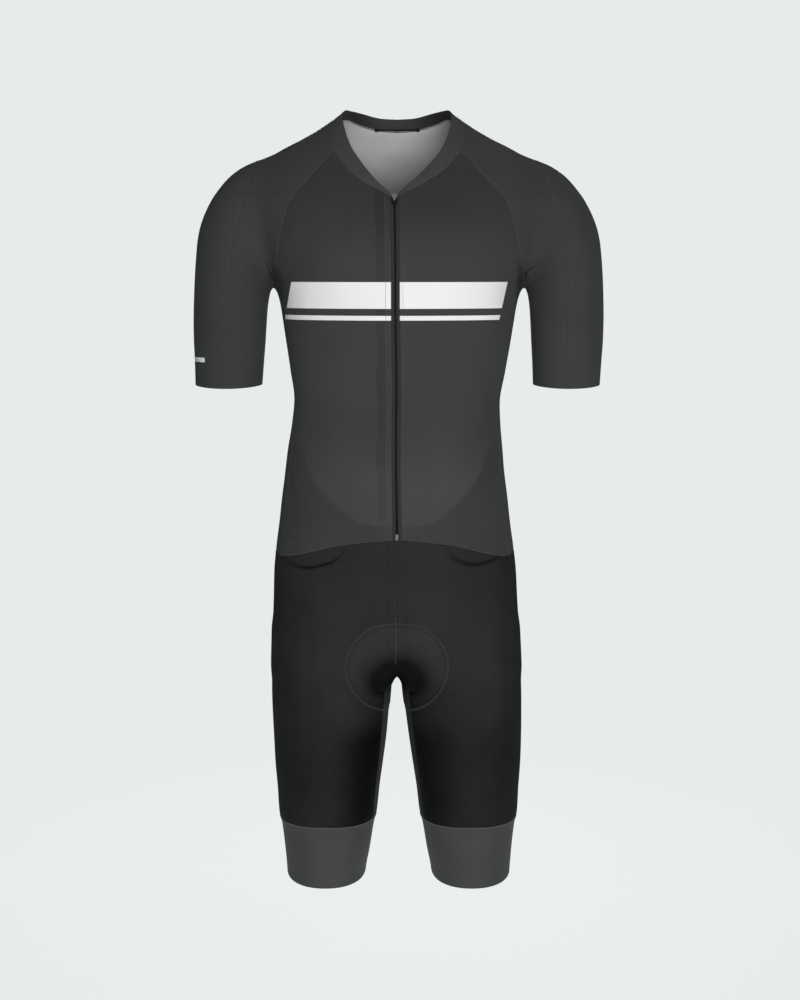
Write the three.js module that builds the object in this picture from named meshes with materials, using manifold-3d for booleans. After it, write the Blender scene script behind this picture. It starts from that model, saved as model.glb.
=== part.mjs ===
import * as THREE from 'three';
import { mergeVertices } from 'three/addons/utils/BufferGeometryUtils.js';
import Module from 'manifold-3d';

// Short-sleeved triathlon suit in its worn form, hollow, with nobody in it.
// Millimetres, +Z up, the front faces -Y, +X is the wearer's left.
// The origin is the centre of the neck base, level with the side neck points.

// Cloth
const clothThickness = 1.5;
const seamGap = 0.3;
const layerGap = 0.4;

// Main heights
const frontHemZ = -560;
const neckPointZ = -114;
const underlapTopZ = -592;
const underlapBottomZ = -616;
const looseTopZ = -425;
const looseBottomZ = -480;
const looseHem = 3.4;
const looseInnerX = 95;
const looseOuterX = 145;
const sideHold = 0.85;
const underlapDepth = 1.9;

// Zip
const panelEdgeX = 5.6;
const tapeInnerX = 1.2;
const coilHalfWidth = 0.9;
const guardRightX = 9;
const guardLeftX = -25;
const guardMiddleX = -8;
const guardBottomZ = -534;
const guardTopZ = -122;
const tapeThickness = 1;
const coilThickness = 1.8;
const tapeDrop = 0.2;

// Tape inside the back neck
const neckTapeHalfLength = 31;
const neckTapeHeights = [-22.5, -14.5];
const neckTapeCells = 6;

// Slider, pull tab and bottom stop; the slider's own frame has -Y outward and +Z up the zip
const coilLift = 0.3;
const sliderZ = -117;
const sliderTopHalfWidth = 3.7;
const sliderBottomHalfWidth = 2.6;
const sliderHalfLength = 4.8;
const sliderShoulderZ = 0.5;
const sliderThickness = 1.8;
const bailHalfWidth = 0.9;
const bailReach = 1.5;
const bailRoot = 0.2;
const bailHoleRadius = 0.85;
const hingeZ = -3.2;
const hingeY = -2.9;
const pullPinRadius = 0.5;
const pinEndLength = 0.5;
const pullHalfWidth = 3.4;
const pullTipHalfWidth = 0.8;
const pullThickness = 1.1;
const pullWindowHalfWidth = 1.4;
const pullWindowDrop = 2.5;
const pullWaist = 6.8;
const pullLength = 9.2;
const pullTilt = 9;
const stopZ = -555.5;
const stopHalfWidth = 1.8;
const stopHeight = 8;
const stopThickness = 1.4;

// Cells along and across the pieces
const raglanCells = 10;
const underarmCells = 6;
const sideCells = 13;
const frontCells = 8;
const backHalfCells = 8;
const sleeveFrontCells = 4;
const sleeveOuterCells = 11;
const shortsFrontCells = 7;
const innerThighCells = 5;
const innerSeamCells = 8;
const lowerSideCells = 13;
const upperSideCells = 5;
const cuffCells = 3;
const collarCells = 2;

// General figure, as horizontal sections: half width, depth to the front and back, and roundness
const trunkRows = [
  ['z', 'halfWidth', 'front', 'back', 'power'],
  [30, 58, 42, 52, 2],
  [6, 66, 44, 57, 2],
  [-2, 72, 45, 60, 2],
  [-10, 82, 46, 62, 2],
  [-25, 104, 49, 68, 2],
  [-38, 127, 55, 76, 2],
  [-51, 153, 62, 83, 2],
  [-64, 172, 68, 90, 2.05],
  [-78, 190, 75, 96, 2.1],
  [-91, 202, 82, 100, 2.15],
  [-104, 208, 87, 104, 2.2],
  [-117, 214, 93, 107, 2.25],
  [-143, 203, 102, 112, 2.3],
  [-170, 190, 110, 115, 2.3],
  [-200, 176, 116, 117, 2.3],
  [-232, 163, 118, 116, 2.3],
  [-250, 159, 117, 114, 2.3],
  [-276, 155, 115, 111, 2.3],
  [-303, 151, 112, 107, 2.3],
  [-343, 144.5, 105, 99, 2.3],
  [-384, 138.5, 99, 93, 2.25],
  [-416, 140.7, 98, 94, 2.25],
  [-449, 145, 100, 98, 2.25],
  [-482, 148.6, 103, 106, 2.25],
  [-515, 153, 105, 114, 2.25],
  [-547, 156.6, 107, 121, 2.25],
  [-580, 161, 108, 127, 2.3],
  [-614, 164.6, 108, 131, 2.35],
  [-647, 166, 107, 132, 2.35],
  [-680, 167.5, 105, 130, 2.35],
  [-714, 168, 102, 124, 2.35],
  [-764, 166, 94, 108, 2.35],
];
const armRows = [
  ['z', 'centre', 'halfWidth', 'front', 'back', 'power'],
  [-60, 188, 50, 56, 56, 2],
  [-100, 202, 50, 57, 57, 2],
  [-130, 211, 50, 58, 58, 2],
  [-160, 217, 50, 58, 58, 2],
  [-200, 222, 49.5, 57, 57, 2.1],
  [-232, 224.5, 49.2, 55, 55, 2.1],
  [-276, 226.4, 48.9, 53, 54, 2.1],
  [-303, 226.8, 48.2, 52, 53, 2.1],
  [-330, 227, 46.6, 50, 51, 2.1],
  [-370, 227.4, 44.6, 48, 49, 2.1],
];
const legRows = [
  ['z', 'centre', 'halfWidth', 'front', 'back', 'power'],
  [-640, 84, 78, 82, 108, 2.2],
  [-700, 85, 82, 90, 112, 2.2],
  [-740, 87.5, 82.5, 94, 109, 2.2],
  [-764, 88.9, 82, 95, 105, 2.2],
  [-781, 89.9, 81.4, 95, 102, 2.2],
  [-815, 91.5, 79.4, 92, 98, 2.2],
  [-849, 93, 77, 88, 93, 2.2],
  [-883, 94.8, 74, 84, 88, 2.2],
  [-917, 96, 70.4, 80, 84, 2.2],
  [-951, 97, 67.7, 76, 79, 2.2],
  [-968, 97.3, 63.9, 72, 75, 2.2],
  [-1003, 98.2, 59.1, 67, 69, 2.2],
  [-1037, 100, 54.8, 62, 64, 2.2],
  [-1060, 100.4, 54, 61, 63, 2.2],
];

// Rounded ends of the figure's parts, and how softly the parts run into each other
const shoulderDomeZ = -178;
const shoulderDomeHeight = 102;
const armEndZ = -430;
const legDomeZ = -700;
const legDomeHeight = 60;
const crotchZ = -747;
const crotchCurve = 0.2;
const crotchCurveHalfWidth = 10;
const crotchRounding = 26;
const armBlend = 22;
const legBlend = 10;
const crotchBlend = 10;

// The figure leans a little from side to side: how far each height is shifted along X
const leanRows = [
  ['z', 'x'],
  [0, 0],
  [-120, 1.5],
  [-200, 2.5],
  [-300, 2],
  [-360, 1],
  [-400, -0.5],
  [-482, -3],
  [-560, -3],
  [-620, -2.5],
  [-700, -1.5],
  [-780, -0.5],
  [-860, 1],
  [-1050, 2],
];

// The zip and the front seam sway a little more than the sides do
const swayRows = [
  ['z', 'x'],
  [-20, 0],
  [-60, -1.5],
  [-111, -4.6],
  [-250, -4.2],
  [-330, -2.5],
  [-400, -0.5],
  [-480, 2],
  [-560, 3],
  [-690, 3],
  [-750, 1],
  [-800, 0],
];
const swayInnerX = 20;
const swayOuterX = 130;
const swayInnerY = -20;
const swayOuterY = -80;

// Where the rays start inside the figure: the trunk's axis runs out into each leg
const legAxisRows = [
  ['z', 'x'],
  [-560, 0],
  [-600, 6],
  [-680, 52],
  [-740, 84],
  [-781, 89.5],
  [-849, 93],
  [-917, 96],
  [-1060, 100],
];

// Sections of the sleeve: a point on the arm's axis and the section's tilt in degrees
const sleeveAxisRows = [
  ['row', 'x', 'z', 'tilt'],
  [-1, 60, -30, 75],
  [0, 84, -42, 70],
  [1, 108, -62, 62],
  [2, 132, -83, 52],
  [3, 155, -105, 42],
  [4, 176, -128, 32],
  [5, 194, -155, 20],
  [6, 208, -185, 8],
  [7, 218, -215, 1],
  [8, 224, -245, 0],
  [9, 226, -280, 0],
  [10, 227, -376, 0],
];

// Seams, as guide points that are then laid on the figure
const guideColumns = ['x', 'y', 'z'];
const collarSeamFrontRows = [
  guideColumns,
  [5.6, -92, -116],
  [13, -90, -111],
  [35, -83, -100],
  [61, -71, -83],
  [83, -55, -57],
];
const collarSeamSleeveFrontRows = [
  guideColumns,
  [83, -55, -57],
  [88, -42, -40],
  [89, -24, -24],
  [88, -6, -13],
  [86, 12, -11],
];
const collarSeamSleeveOuterRows = [
  guideColumns,
  [86, 12, -11],
  [78, 25, -10.5],
  [68, 35, -10.5],
];
const collarSeamBackRows = [
  guideColumns,
  [68, 35, -10.5],
  [55, 50, -15.5],
  [30, 62, -22.5],
  [0, 67, -25],
];
const collarTopRows = [
  guideColumns,
  [5.6, -90, -110],
  [28, -78, -91],
  [44, -70, -72],
  [58.5, -57, -52],
  [68, -40, -28],
  [72, -20, -9],
  [69.5, 4, 1],
  [62, 26, 2],
  [46, 44, -1],
  [24, 57, -5.6],
  [0, 60.5, -7],
];
const raglanFrontRows = [
  guideColumns,
  [168, 0, -232],
  [166.5, -18, -228],
  [163, -38, -217],
  [158.5, -52, -203],
  [154.5, -60, -189],
  [151, -67, -172],
  [148.5, -72, -155],
  [145, -74, -139],
  [140.5, -74, -125],
  [133, -72, -113],
  [121, -70, -100],
  [108, -66, -86],
  [94, -60, -69],
  [83, -55, -57],
];
const raglanBackRows = [
  guideColumns,
  [168, 0, -232],
  [166.5, 18, -228],
  [163, 40, -216],
  [158, 58, -196],
  [152, 74, -168],
  [145, 84, -138],
  [134, 84, -110],
  [117, 78, -82],
  [98, 66, -52],
  [81, 50, -27],
  [68, 35, -10.5],
];
const sideSeamRows = [
  guideColumns,
  [154, -47, -589],
  [150, -46, -560],
  [147, -44, -520],
  [142, -40, -480],
  [139, -32, -440],
  [138, -20, -400],
  [143, -8, -350],
  [152, -2, -300],
  [160, 0, -255],
  [168, 0, -232],
];
const lowerSideSeamRows = [
  guideColumns,
  [161, -18, -957],
  [163, -26, -900],
  [165, -32, -830],
  [163, -38, -760],
  [160, -42, -690],
  [157, -45, -630],
  [154, -47, -589],
];
const upperSideSeamRows = [
  guideColumns,
  [154, -47, -589],
  [149, -45, -545],
  [143, -41, -490],
  [138, -30, -432],
];
const innerSeamFrontRows = [
  guideColumns,
  [35.3, -31, -957],
  [29.8, -36, -891],
  [25, -41, -848],
  [18.9, -46, -797],
  [9, -56, -766],
  [0, -72, -744],
];
const innerSeamBackRows = [
  guideColumns,
  [37, 34, -957],
  [31, 40, -891],
  [25, 46, -848],
  [18, 52, -797],
  [9, 62, -766],
  [0, 78, -744],
];
const crotchSeamRows = [
  guideColumns,
  [0, -72, -744],
  [0, -36, -757],
  [0, 0, -761],
  [0, 40, -757],
  [0, 78, -744],
];
const frontCentreRows = [
  guideColumns,
  [0, -72, -744],
  [0, -92, -720],
  [0, -105, -670],
  [0, -108, -600],
  [0, -107, -541],
];
const backCentreRows = [
  guideColumns,
  [0, 78, -744],
  [0, 105, -720],
  [0, 126, -680],
  [0, 131, -630],
  [0, 127, -588],
];
const frontHemRows = [
  guideColumns,
  [5.6, -107, frontHemZ],
  [18, -107, -561],
  [46, -105, -564],
  [72, -100, -568],
  [97, -90, -575],
  [120, -77, -582],
  [138, -62, -587],
  [154, -47, -589],
];
const waistBackRows = [
  guideColumns,
  [154, -47, -589],
  [161, 0, -588],
  [150, 60, -588],
  [100, 104, -588],
  [50, 122, -588],
  [0, 127, -588],
];
const underlapRows = [
  guideColumns,
  [0, -107, -541],
  [30, -106, -541],
  [48, -104, -538],
  [60, -102, -530],
  [75, -97, -518],
  [88, -91, -505],
  [103, -82, -488],
  [115, -72, -467],
  [120, -64, -447],
  [138, -30, -432],
];
const cuffTopFrontRows = [
  guideColumns,
  [35.3, -31, -957],
  [60, -60, -957],
  [97, -75, -957],
  [135, -60, -957],
  [161, -18, -957],
];
const cuffTopBackRows = [
  guideColumns,
  [161, -18, -957],
  [163, 25, -957],
  [130, 66, -957],
  [97, 78, -957],
  [60, 62, -957],
  [37, 34, -957],
];
const cuffTopInnerRows = [
  guideColumns,
  [37, 34, -957],
  [29, 0, -957],
  [35.3, -31, -957],
];
const cuffBottomSideZ = -1036;
const cuffBottomFrontZ = -1046;
const sleeveHemInnerZ = -363;
const sleeveHemFrontZ = -366;
const sleeveSeamLowerRows = [
  guideColumns,
  [222, -48, sleeveHemFrontZ],
  [222.5, -51, -301],
  [222.5, -53, -249],
];
const sleeveSeamUpperRows = [
  guideColumns,
  [222.5, -53, -249],
  [222, -54, -216],
  [219, -54, -190],
  [215, -53, -166],
  [208, -51, -140],
  [200, -45, -117],
  [193, -36, -101],
  [187, -18, -80],
  [180, 2, -66],
  [150, 14, -52],
  [118, 15, -34],
  [86, 12, -11],
];
const underarmRows = [
  guideColumns,
  [180, 0, sleeveHemInnerZ],
  [176, 0, -310],
  [172, 0, -260],
  [168, 0, -232],
];

// Colours and finish
const jerseyCloth = new THREE.MeshStandardMaterial({ color: 0x46474a, roughness: 0.85, metalness: 0 });
const shortsCloth = new THREE.MeshStandardMaterial({ color: 0x2c2c2f, roughness: 0.8, metalness: 0 });
const panelCloth = new THREE.MeshStandardMaterial({ color: 0x3a3a3d, roughness: 0.85, metalness: 0 });
const bandCloth = new THREE.MeshStandardMaterial({ color: 0x404144, roughness: 0.75, metalness: 0 });
const blackTape = new THREE.MeshStandardMaterial({ color: 0x161617, roughness: 0.8, metalness: 0 });
const sliderMetal = new THREE.MeshStandardMaterial({ color: 0x808080, roughness: 0.35, metalness: 0.9 });
const pullPlastic = new THREE.MeshStandardMaterial({ color: 0x141414, roughness: 0.5, metalness: 0 });

// A smooth curve through a table's column, with no overshoot between rows
function fitCurve(places, values) {
  const last = places.length - 1;
  const rises = values.slice(1).map((value, index) => value - values[index]);
  const slopes = rises.map((rise, index) => rise / (places[index + 1] - places[index]));
  const tangents = places.map((place, index) => {
    if (index === 0) return slopes[0];
    if (index === last) return slopes[last - 1];
    const before = slopes[index - 1];
    const after = slopes[index];
    return before * after <= 0 ? 0 : (2 * before * after) / (before + after);
  });
  return (place) => {
    if (place <= places[0]) return values[0];
    if (place >= places[last]) return values[last];
    let index = 0;
    while (place > places[index + 1]) index += 1;
    const span = places[index + 1] - places[index];
    const t = (place - places[index]) / span;
    const hold = 1 - t;
    const start = (1 + 2 * t) * hold * hold * values[index] + t * hold * hold * span * tangents[index];
    const end = t * t * (3 - 2 * t) * values[index + 1] - t * t * hold * span * tangents[index + 1];
    return start + end;
  };
}

// A table with a header row becomes one function for each column after the first
function makeTable(rows) {
  const [names, ...body] = rows;
  const sorted = body.slice().sort((a, b) => a[0] - b[0]);
  const places = sorted.map((row) => row[0]);
  const table = {};
  names.slice(1).forEach((name, index) => {
    table[name] = fitCurve(places, sorted.map((row) => row[index + 1]));
  });
  return table;
}

const trunk = makeTable(trunkRows);
const arm = makeTable(armRows);
const leg = makeTable(legRows);
const legAxis = makeTable(legAxisRows);
const sleeveAxis = makeTable(sleeveAxisRows);
const lean = makeTable(leanRows);
const sway = makeTable(swayRows);

function softMin(a, b, blend) {
  const share = Math.max(blend - Math.abs(a - b), 0) / blend;
  return Math.min(a, b) - (share * share * blend) / 4;
}

// Signed distance, roughly, to one part of the figure; dome is how far a point is into its rounded end
function sectionDistance(part, x, y, z, dome) {
  const halfWidth = part.halfWidth(z);
  const front = part.front(z);
  const back = part.back(z);
  const power = part.power(z);
  const across = Math.abs(x) / halfWidth;
  const through = Math.abs(y) / (y < 0 ? front : back);
  const total = across ** power + through ** power + dome ** power;
  return (total ** (1 / power) - 1) * Math.min(halfWidth, (front + back) / 2);
}

// The figure that the suit is cut for: negative inside
function figure(x, y, z) {
  const side = Math.abs(x);
  const shoulderDome = Math.max(0, z - shoulderDomeZ) / shoulderDomeHeight;
  const legDome = Math.max(0, z - legDomeZ) / legDomeHeight;
  const armSection = sectionDistance(arm, side - arm.centre(z), y, z, shoulderDome);
  const armValue = Math.max(armSection, armEndZ - z);
  const nearLeg = sectionDistance(leg, side - leg.centre(z), y, z, legDome);
  const farLeg = sectionDistance(leg, side + leg.centre(z), y, z, legDome);
  const trunkSection = sectionDistance(trunk, side, y, z, 0);
  const crotchFloor = crotchZ - crotchCurve * Math.min(side, crotchCurveHalfWidth) ** 2;
  const trunkValue = -softMin(-trunkSection, z - crotchFloor, crotchRounding);
  const legs = softMin(nearLeg, farLeg, crotchBlend);
  return softMin(softMin(trunkValue, armValue, armBlend), legs, legBlend);
}

function gradient(point) {
  const step = 0.4;
  const { x, y, z } = point;
  return new THREE.Vector3(
    figure(x + step, y, z) - figure(x - step, y, z),
    figure(x, y + step, z) - figure(x, y - step, z),
    figure(x, y, z + step) - figure(x, y, z - step),
  ).divideScalar(2 * step);
}

function layOnFigure(point) {
  const laid = point.clone();
  for (let pass = 0; pass < 12; pass += 1) {
    const slope = gradient(laid);
    laid.addScaledVector(slope, -figure(laid.x, laid.y, laid.z) / slope.lengthSq());
  }
  return laid;
}

// First way out of the figure along a ray
function castRay(origin, direction) {
  const stride = 3;
  const longest = 400;
  const at = new THREE.Vector3();
  let far = stride;
  for (; far < longest; far += stride) {
    at.copy(origin).addScaledVector(direction, far);
    if (figure(at.x, at.y, at.z) > 0) break;
  }
  let near = far - stride;
  for (let pass = 0; pass < 22; pass += 1) {
    const middle = (near + far) / 2;
    at.copy(origin).addScaledVector(direction, middle);
    if (figure(at.x, at.y, at.z) > 0) far = middle;
    else near = middle;
  }
  return at.copy(origin).addScaledVector(direction, near);
}

// Charts: an angle about an axis inside the figure, a height along it, and the reach out to the skin
const legChart = {
  origin: (z) => new THREE.Vector3(legAxis.x(z), 0, z),
  direction: (angle) => new THREE.Vector3(Math.sin(angle), -Math.cos(angle), 0),
  toFlat(point) {
    const across = point.x - legAxis.x(point.z);
    return [Math.atan2(across, -point.y), point.z, Math.hypot(across, point.y)];
  },
};
const trunkChart = {
  origin: (z) => new THREE.Vector3(0, 0, z),
  direction: (angle) => new THREE.Vector3(Math.sin(angle), -Math.cos(angle), 0),
  toFlat: (point) => [Math.atan2(point.x, -point.y), point.z, Math.hypot(point.x, point.y)],
};
const sleeveChart = {
  tilt: (row) => THREE.MathUtils.degToRad(sleeveAxis.tilt(row)),
  origin: (row) => new THREE.Vector3(sleeveAxis.x(row), 0, sleeveAxis.z(row)),
  direction(angle, row) {
    const tilt = sleeveChart.tilt(row);
    const outward = Math.cos(angle);
    return new THREE.Vector3(outward * Math.cos(tilt), Math.sin(angle), outward * Math.sin(tilt));
  },
  toFlat(point) {
    let low = -1;
    let high = 10;
    for (let pass = 0; pass < 40; pass += 1) {
      const row = (low + high) / 2;
      const tilt = sleeveChart.tilt(row);
      const outward = point.x - sleeveAxis.x(row);
      const above = (point.z - sleeveAxis.z(row)) * Math.cos(tilt) - outward * Math.sin(tilt);
      if (above > 0) high = row;
      else low = row;
    }
    const tilt = sleeveChart.tilt(low);
    const rise = point.z - sleeveAxis.z(low);
    const along = (point.x - sleeveAxis.x(low)) * Math.cos(tilt) + rise * Math.sin(tilt);
    return [Math.atan2(point.y, along), low, Math.hypot(point.y, along)];
  },
};

function chartRay(chart, angle, height) {
  return castRay(chart.origin(height), chart.direction(angle, height));
}

function chartPoint(chart, angle, height, reach) {
  return layOnFigure(chart.origin(height).addScaledVector(chart.direction(angle, height), reach));
}

// A seam: guide points joined by a smooth curve, spaced evenly and laid on the figure
function seam(rows, cells) {
  const guides = rows.slice(1).map((row) => new THREE.Vector3(...row));
  const curve = new THREE.CatmullRomCurve3(guides, false, 'centripetal');
  return curve.getSpacedPoints(cells).map(layOnFigure);
}

function join(first, second) {
  return [...first, ...second.slice(1)];
}

function reversed(points) {
  return points.slice().reverse();
}

function mirrored(points) {
  return points.map((point) => new THREE.Vector3(-point.x, point.y, point.z));
}

// Turns an edge's points into chart coordinates whose angle never jumps a full turn
function flatten(chart, points, startAngle) {
  let previous = startAngle;
  return points.map((point) => {
    const [angle, height, reach] = chart.toFlat(point);
    const turns = Math.round((previous - angle) / (2 * Math.PI));
    previous = angle + turns * 2 * Math.PI;
    return [previous, height, reach];
  });
}

// Fills the four edges of a piece with points on the figure, row by row from the bottom
function fillPiece(chart, { bottom, top, left, right }, startAngle = 0) {
  const columns = bottom.length - 1;
  const rows = left.length - 1;
  const flatBottom = flatten(chart, bottom, startAngle);
  const flatLeft = flatten(chart, left, flatBottom[0][0]);
  const flatRight = flatten(chart, right, flatBottom[columns][0]);
  const flatTop = flatten(chart, top, flatLeft[rows][0]);
  const blend = (i, j, axis) => {
    const u = i / columns;
    const v = j / rows;
    const lowCorners = (1 - u) * flatBottom[0][axis] + u * flatBottom[columns][axis];
    const highCorners = (1 - u) * flatTop[0][axis] + u * flatTop[columns][axis];
    const across = (1 - u) * flatLeft[j][axis] + u * flatRight[j][axis];
    const along = (1 - v) * (flatBottom[i][axis] - lowCorners) + v * (flatTop[i][axis] - highCorners);
    return across + along;
  };
  return left.map((leftPoint, j) => bottom.map((bottomPoint, i) => {
    if (i === 0) return leftPoint.clone();
    if (i === columns) return right[j].clone();
    if (j === 0) return bottomPoint.clone();
    if (j === rows) return top[i].clone();
    return chartPoint(chart, blend(i, j, 0), blend(i, j, 1), blend(i, j, 2));
  }));
}

function smoothStep(from, to, value) {
  const t = Math.min(1, Math.max(0, (value - from) / (to - from)));
  return t * t * (3 - 2 * t);
}

// Shifts a finished point sideways, as the worn suit leans
function leanOver(point) {
  const nearCentre = 1 - smoothStep(swayInnerX, swayOuterX, Math.abs(point.x));
  const towardsFront = smoothStep(swayInnerY, swayOuterY, point.y);
  point.x += lean.x(point.z) + sway.x(point.z) * nearCentre * towardsFront;
  return point;
}

// How far the jersey front stands off the figure: it hangs loose over the shorts, less so at the sides
function jerseyLift(point) {
  const held = sideHold * smoothStep(looseInnerX, looseOuterX, Math.abs(point.x));
  return looseHem * smoothStep(looseTopZ, looseBottomZ, point.z) * (1 - held);
}

// How far the shorts front is drawn in where it passes under the jersey
function underlapLift(point) {
  return -underlapDepth * smoothStep(underlapBottomZ, underlapTopZ, point.z);
}

// Moves a piece's edge in by half the seam gap, along the cloth
function insetEdges(rows, normals, closed) {
  const last = rows.length - 1;
  const end = rows[0].length - 1;
  const moves = rows.map((row) => row.map(() => new THREE.Vector3()));
  const addMove = (j, i, before, after, inside) => {
    const along = after.clone().sub(before);
    const inward = normals[j][i].clone().cross(along).normalize();
    if (inward.dot(inside.clone().sub(rows[j][i])) < 0) inward.negate();
    moves[j][i].addScaledVector(inward, seamGap / 2);
  };
  for (let i = 0; i <= end; i += 1) {
    const before = Math.max(i - 1, 0);
    const after = Math.min(i + 1, end);
    addMove(0, i, rows[0][before], rows[0][after], rows[1][i]);
    addMove(last, i, rows[last][before], rows[last][after], rows[last - 1][i]);
  }
  for (let j = 0; !closed && j <= last; j += 1) {
    const before = Math.max(j - 1, 0);
    const after = Math.min(j + 1, last);
    addMove(j, 0, rows[before][0], rows[after][0], rows[j][1]);
    addMove(j, end, rows[before][end], rows[after][end], rows[j][end - 1]);
  }
  return rows.map((row, j) => row.map((point, i) => point.clone().add(moves[j][i])));
}

// A closed wall of cloth from rows of points on the figure; a closed piece's rows run all round a tube
function clothWall(name, material, surfaceRows, options = {}) {
  const { lift = () => 0, thickness = clothThickness, closed = false } = options;
  const firstNormal = gradient(surfaceRows[0][1]);
  const across = surfaceRows[0][1].clone().sub(surfaceRows[0][0]);
  const up = surfaceRows[1][1].clone().sub(surfaceRows[0][1]);
  const facesOut = across.cross(up).dot(firstNormal) > 0;
  const turned = facesOut ? surfaceRows : surfaceRows.map(reversed);
  const normals = turned.map((row) => row.map((point) => gradient(point).normalize()));
  const inset = insetEdges(turned, normals, closed);
  const rowCount = inset.length;
  const width = closed ? inset[0].length - 1 : inset[0].length;
  const layerSize = rowCount * width;
  const positions = [];
  for (const depth of [0, thickness]) {
    for (let j = 0; j < rowCount; j += 1) {
      for (let i = 0; i < width; i += 1) {
        const point = inset[j][i];
        const shift = lift(point) - depth;
        const placed = leanOver(point.clone().addScaledVector(normals[j][i], shift));
        positions.push(placed.x, placed.y, placed.z);
      }
    }
  }
  const outer = (j, i) => j * width + (i % width);
  const inner = (j, i) => layerSize + outer(j, i);
  const faces = [];
  const spans = closed ? width : width - 1;
  for (let j = 0; j < rowCount - 1; j += 1) {
    for (let i = 0; i < spans; i += 1) {
      faces.push(outer(j, i), outer(j, i + 1), outer(j + 1, i + 1));
      faces.push(outer(j, i), outer(j + 1, i + 1), outer(j + 1, i));
      faces.push(inner(j, i), inner(j + 1, i + 1), inner(j, i + 1));
      faces.push(inner(j, i), inner(j + 1, i), inner(j + 1, i + 1));
    }
  }
  // Both pieces at a seam split its faces the same way: from the lower end's inner corner
  const addEdge = (aj, ai, bj, bi) => {
    if (turned[aj][ai].z < turned[bj][bi].z) {
      faces.push(inner(aj, ai), inner(bj, bi), outer(bj, bi));
      faces.push(inner(aj, ai), outer(bj, bi), outer(aj, ai));
    } else {
      faces.push(inner(aj, ai), inner(bj, bi), outer(aj, ai));
      faces.push(inner(bj, bi), outer(bj, bi), outer(aj, ai));
    }
  };
  for (let i = 0; i < spans; i += 1) {
    addEdge(0, i, 0, i + 1);
    addEdge(rowCount - 1, i + 1, rowCount - 1, i);
  }
  for (let j = 0; !closed && j < rowCount - 1; j += 1) {
    addEdge(j, width - 1, j + 1, width - 1);
    addEdge(j + 1, 0, j, 0);
  }
  const geometry = new THREE.BufferGeometry();
  geometry.setAttribute('position', new THREE.Float32BufferAttribute(positions, 3));
  geometry.setIndex(faces);
  geometry.computeVertexNormals();
  const mesh = new THREE.Mesh(geometry, material);
  mesh.name = name;
  return mesh;
}

// The two sides of the suit are alike: the first is the wearer's left, at +X
function bothSides(name, material, rows, options) {
  const otherRows = rows.map(mirrored);
  return [
    clothWall(`${name}_left`, material, rows, options),
    clothWall(`${name}_right`, material, otherRows, options),
  ];
}

// Seams that the pieces share
const collarSeamFront = seam(collarSeamFrontRows, frontCells);
const collarSeamSleeveFront = seam(collarSeamSleeveFrontRows, sleeveFrontCells);
const collarSeamSleeveOuter = seam(collarSeamSleeveOuterRows, sleeveOuterCells);
const collarSeamBack = seam(collarSeamBackRows, backHalfCells);
const raglanFront = seam(raglanFrontRows, raglanCells);
const raglanBack = seam(raglanBackRows, raglanCells);
const sideSeam = seam(sideSeamRows, sideCells);
const underarm = seam(underarmRows, underarmCells);
const sleeveSeam = join(seam(sleeveSeamLowerRows, underarmCells), seam(sleeveSeamUpperRows, raglanCells));
const lowerSideSeam = seam(lowerSideSeamRows, lowerSideCells);
const upperSideSeam = seam(upperSideSeamRows, upperSideCells);
const innerSeamFront = seam(innerSeamFrontRows, innerSeamCells);
const innerSeamBack = seam(innerSeamBackRows, innerSeamCells);
const crotchSeam = seam(crotchSeamRows, innerThighCells);
const waistBack = seam(waistBackRows, backHalfCells);
const cuffTopFront = seam(cuffTopFrontRows, shortsFrontCells);
const cuffTopBack = seam(cuffTopBackRows, backHalfCells);
const cuffTopInner = seam(cuffTopInnerRows, innerThighCells);

function frontPoint(x, z) {
  return castRay(new THREE.Vector3(x, 0, z), new THREE.Vector3(0, -1, 0));
}

// The zip's line up the front, at any distance from the centre
const zipCells = sideCells + raglanCells;
function zipLine(x, fromZ, toZ, cells) {
  return Array.from({ length: cells + 1 }, (unused, j) => frontPoint(x, fromZ + ((toZ - fromZ) * j) / cells));
}

function jerseyFront() {
  const bottom = seam(frontHemRows, frontCells);
  const left = zipLine(panelEdgeX, bottom[0].z, collarSeamFront[0].z, zipCells);
  return fillPiece(trunkChart, {
    bottom,
    left: [bottom[0], ...left.slice(1, -1), collarSeamFront[0]],
    right: join(sideSeam, raglanFront),
    top: collarSeamFront,
  });
}

function jerseyBack() {
  const centreTop = collarSeamBack[backHalfCells];
  const centreBottom = waistBack[backHalfCells];
  const centre = Array.from({ length: zipCells + 1 }, (unused, j) => {
    const z = centreBottom.z + ((centreTop.z - centreBottom.z) * j) / zipCells;
    return chartRay(trunkChart, Math.PI, z);
  });
  const half = fillPiece(trunkChart, {
    bottom: waistBack,
    left: join(sideSeam, raglanBack),
    right: [centreBottom, ...centre.slice(1, -1), centreTop],
    top: collarSeamBack,
  });
  return half.map((row) => join(row, reversed(mirrored(row))));
}

// The sleeve's hem, all round the arm, from the underarm past the front
function hemPoint(angle) {
  const lift = (sleeveHemInnerZ - sleeveHemFrontZ) * Math.cos(angle) ** 2;
  const z = sleeveHemFrontZ + lift;
  const origin = new THREE.Vector3(arm.centre(z), 0, z);
  return castRay(origin, new THREE.Vector3(Math.cos(angle), Math.sin(angle), 0));
}

function hemArc(fromPoint, toPoint, fromAngle, toAngle, cells) {
  const turn = (toAngle - fromAngle) / cells;
  const arc = Array.from({ length: cells + 1 }, (unused, i) => hemPoint(fromAngle + turn * i));
  return [fromPoint, ...arc.slice(1, -1), toPoint];
}

function angleAtHem(point) {
  return Math.atan2(point.y, point.x - arm.centre(point.z));
}

function sleeveFront() {
  const bottom = hemArc(underarm[0], sleeveSeam[0], -Math.PI, angleAtHem(sleeveSeam[0]), sleeveFrontCells);
  return fillPiece(sleeveChart, {
    bottom,
    left: join(underarm, raglanFront),
    right: sleeveSeam,
    top: collarSeamSleeveFront,
  }, -Math.PI);
}

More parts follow.
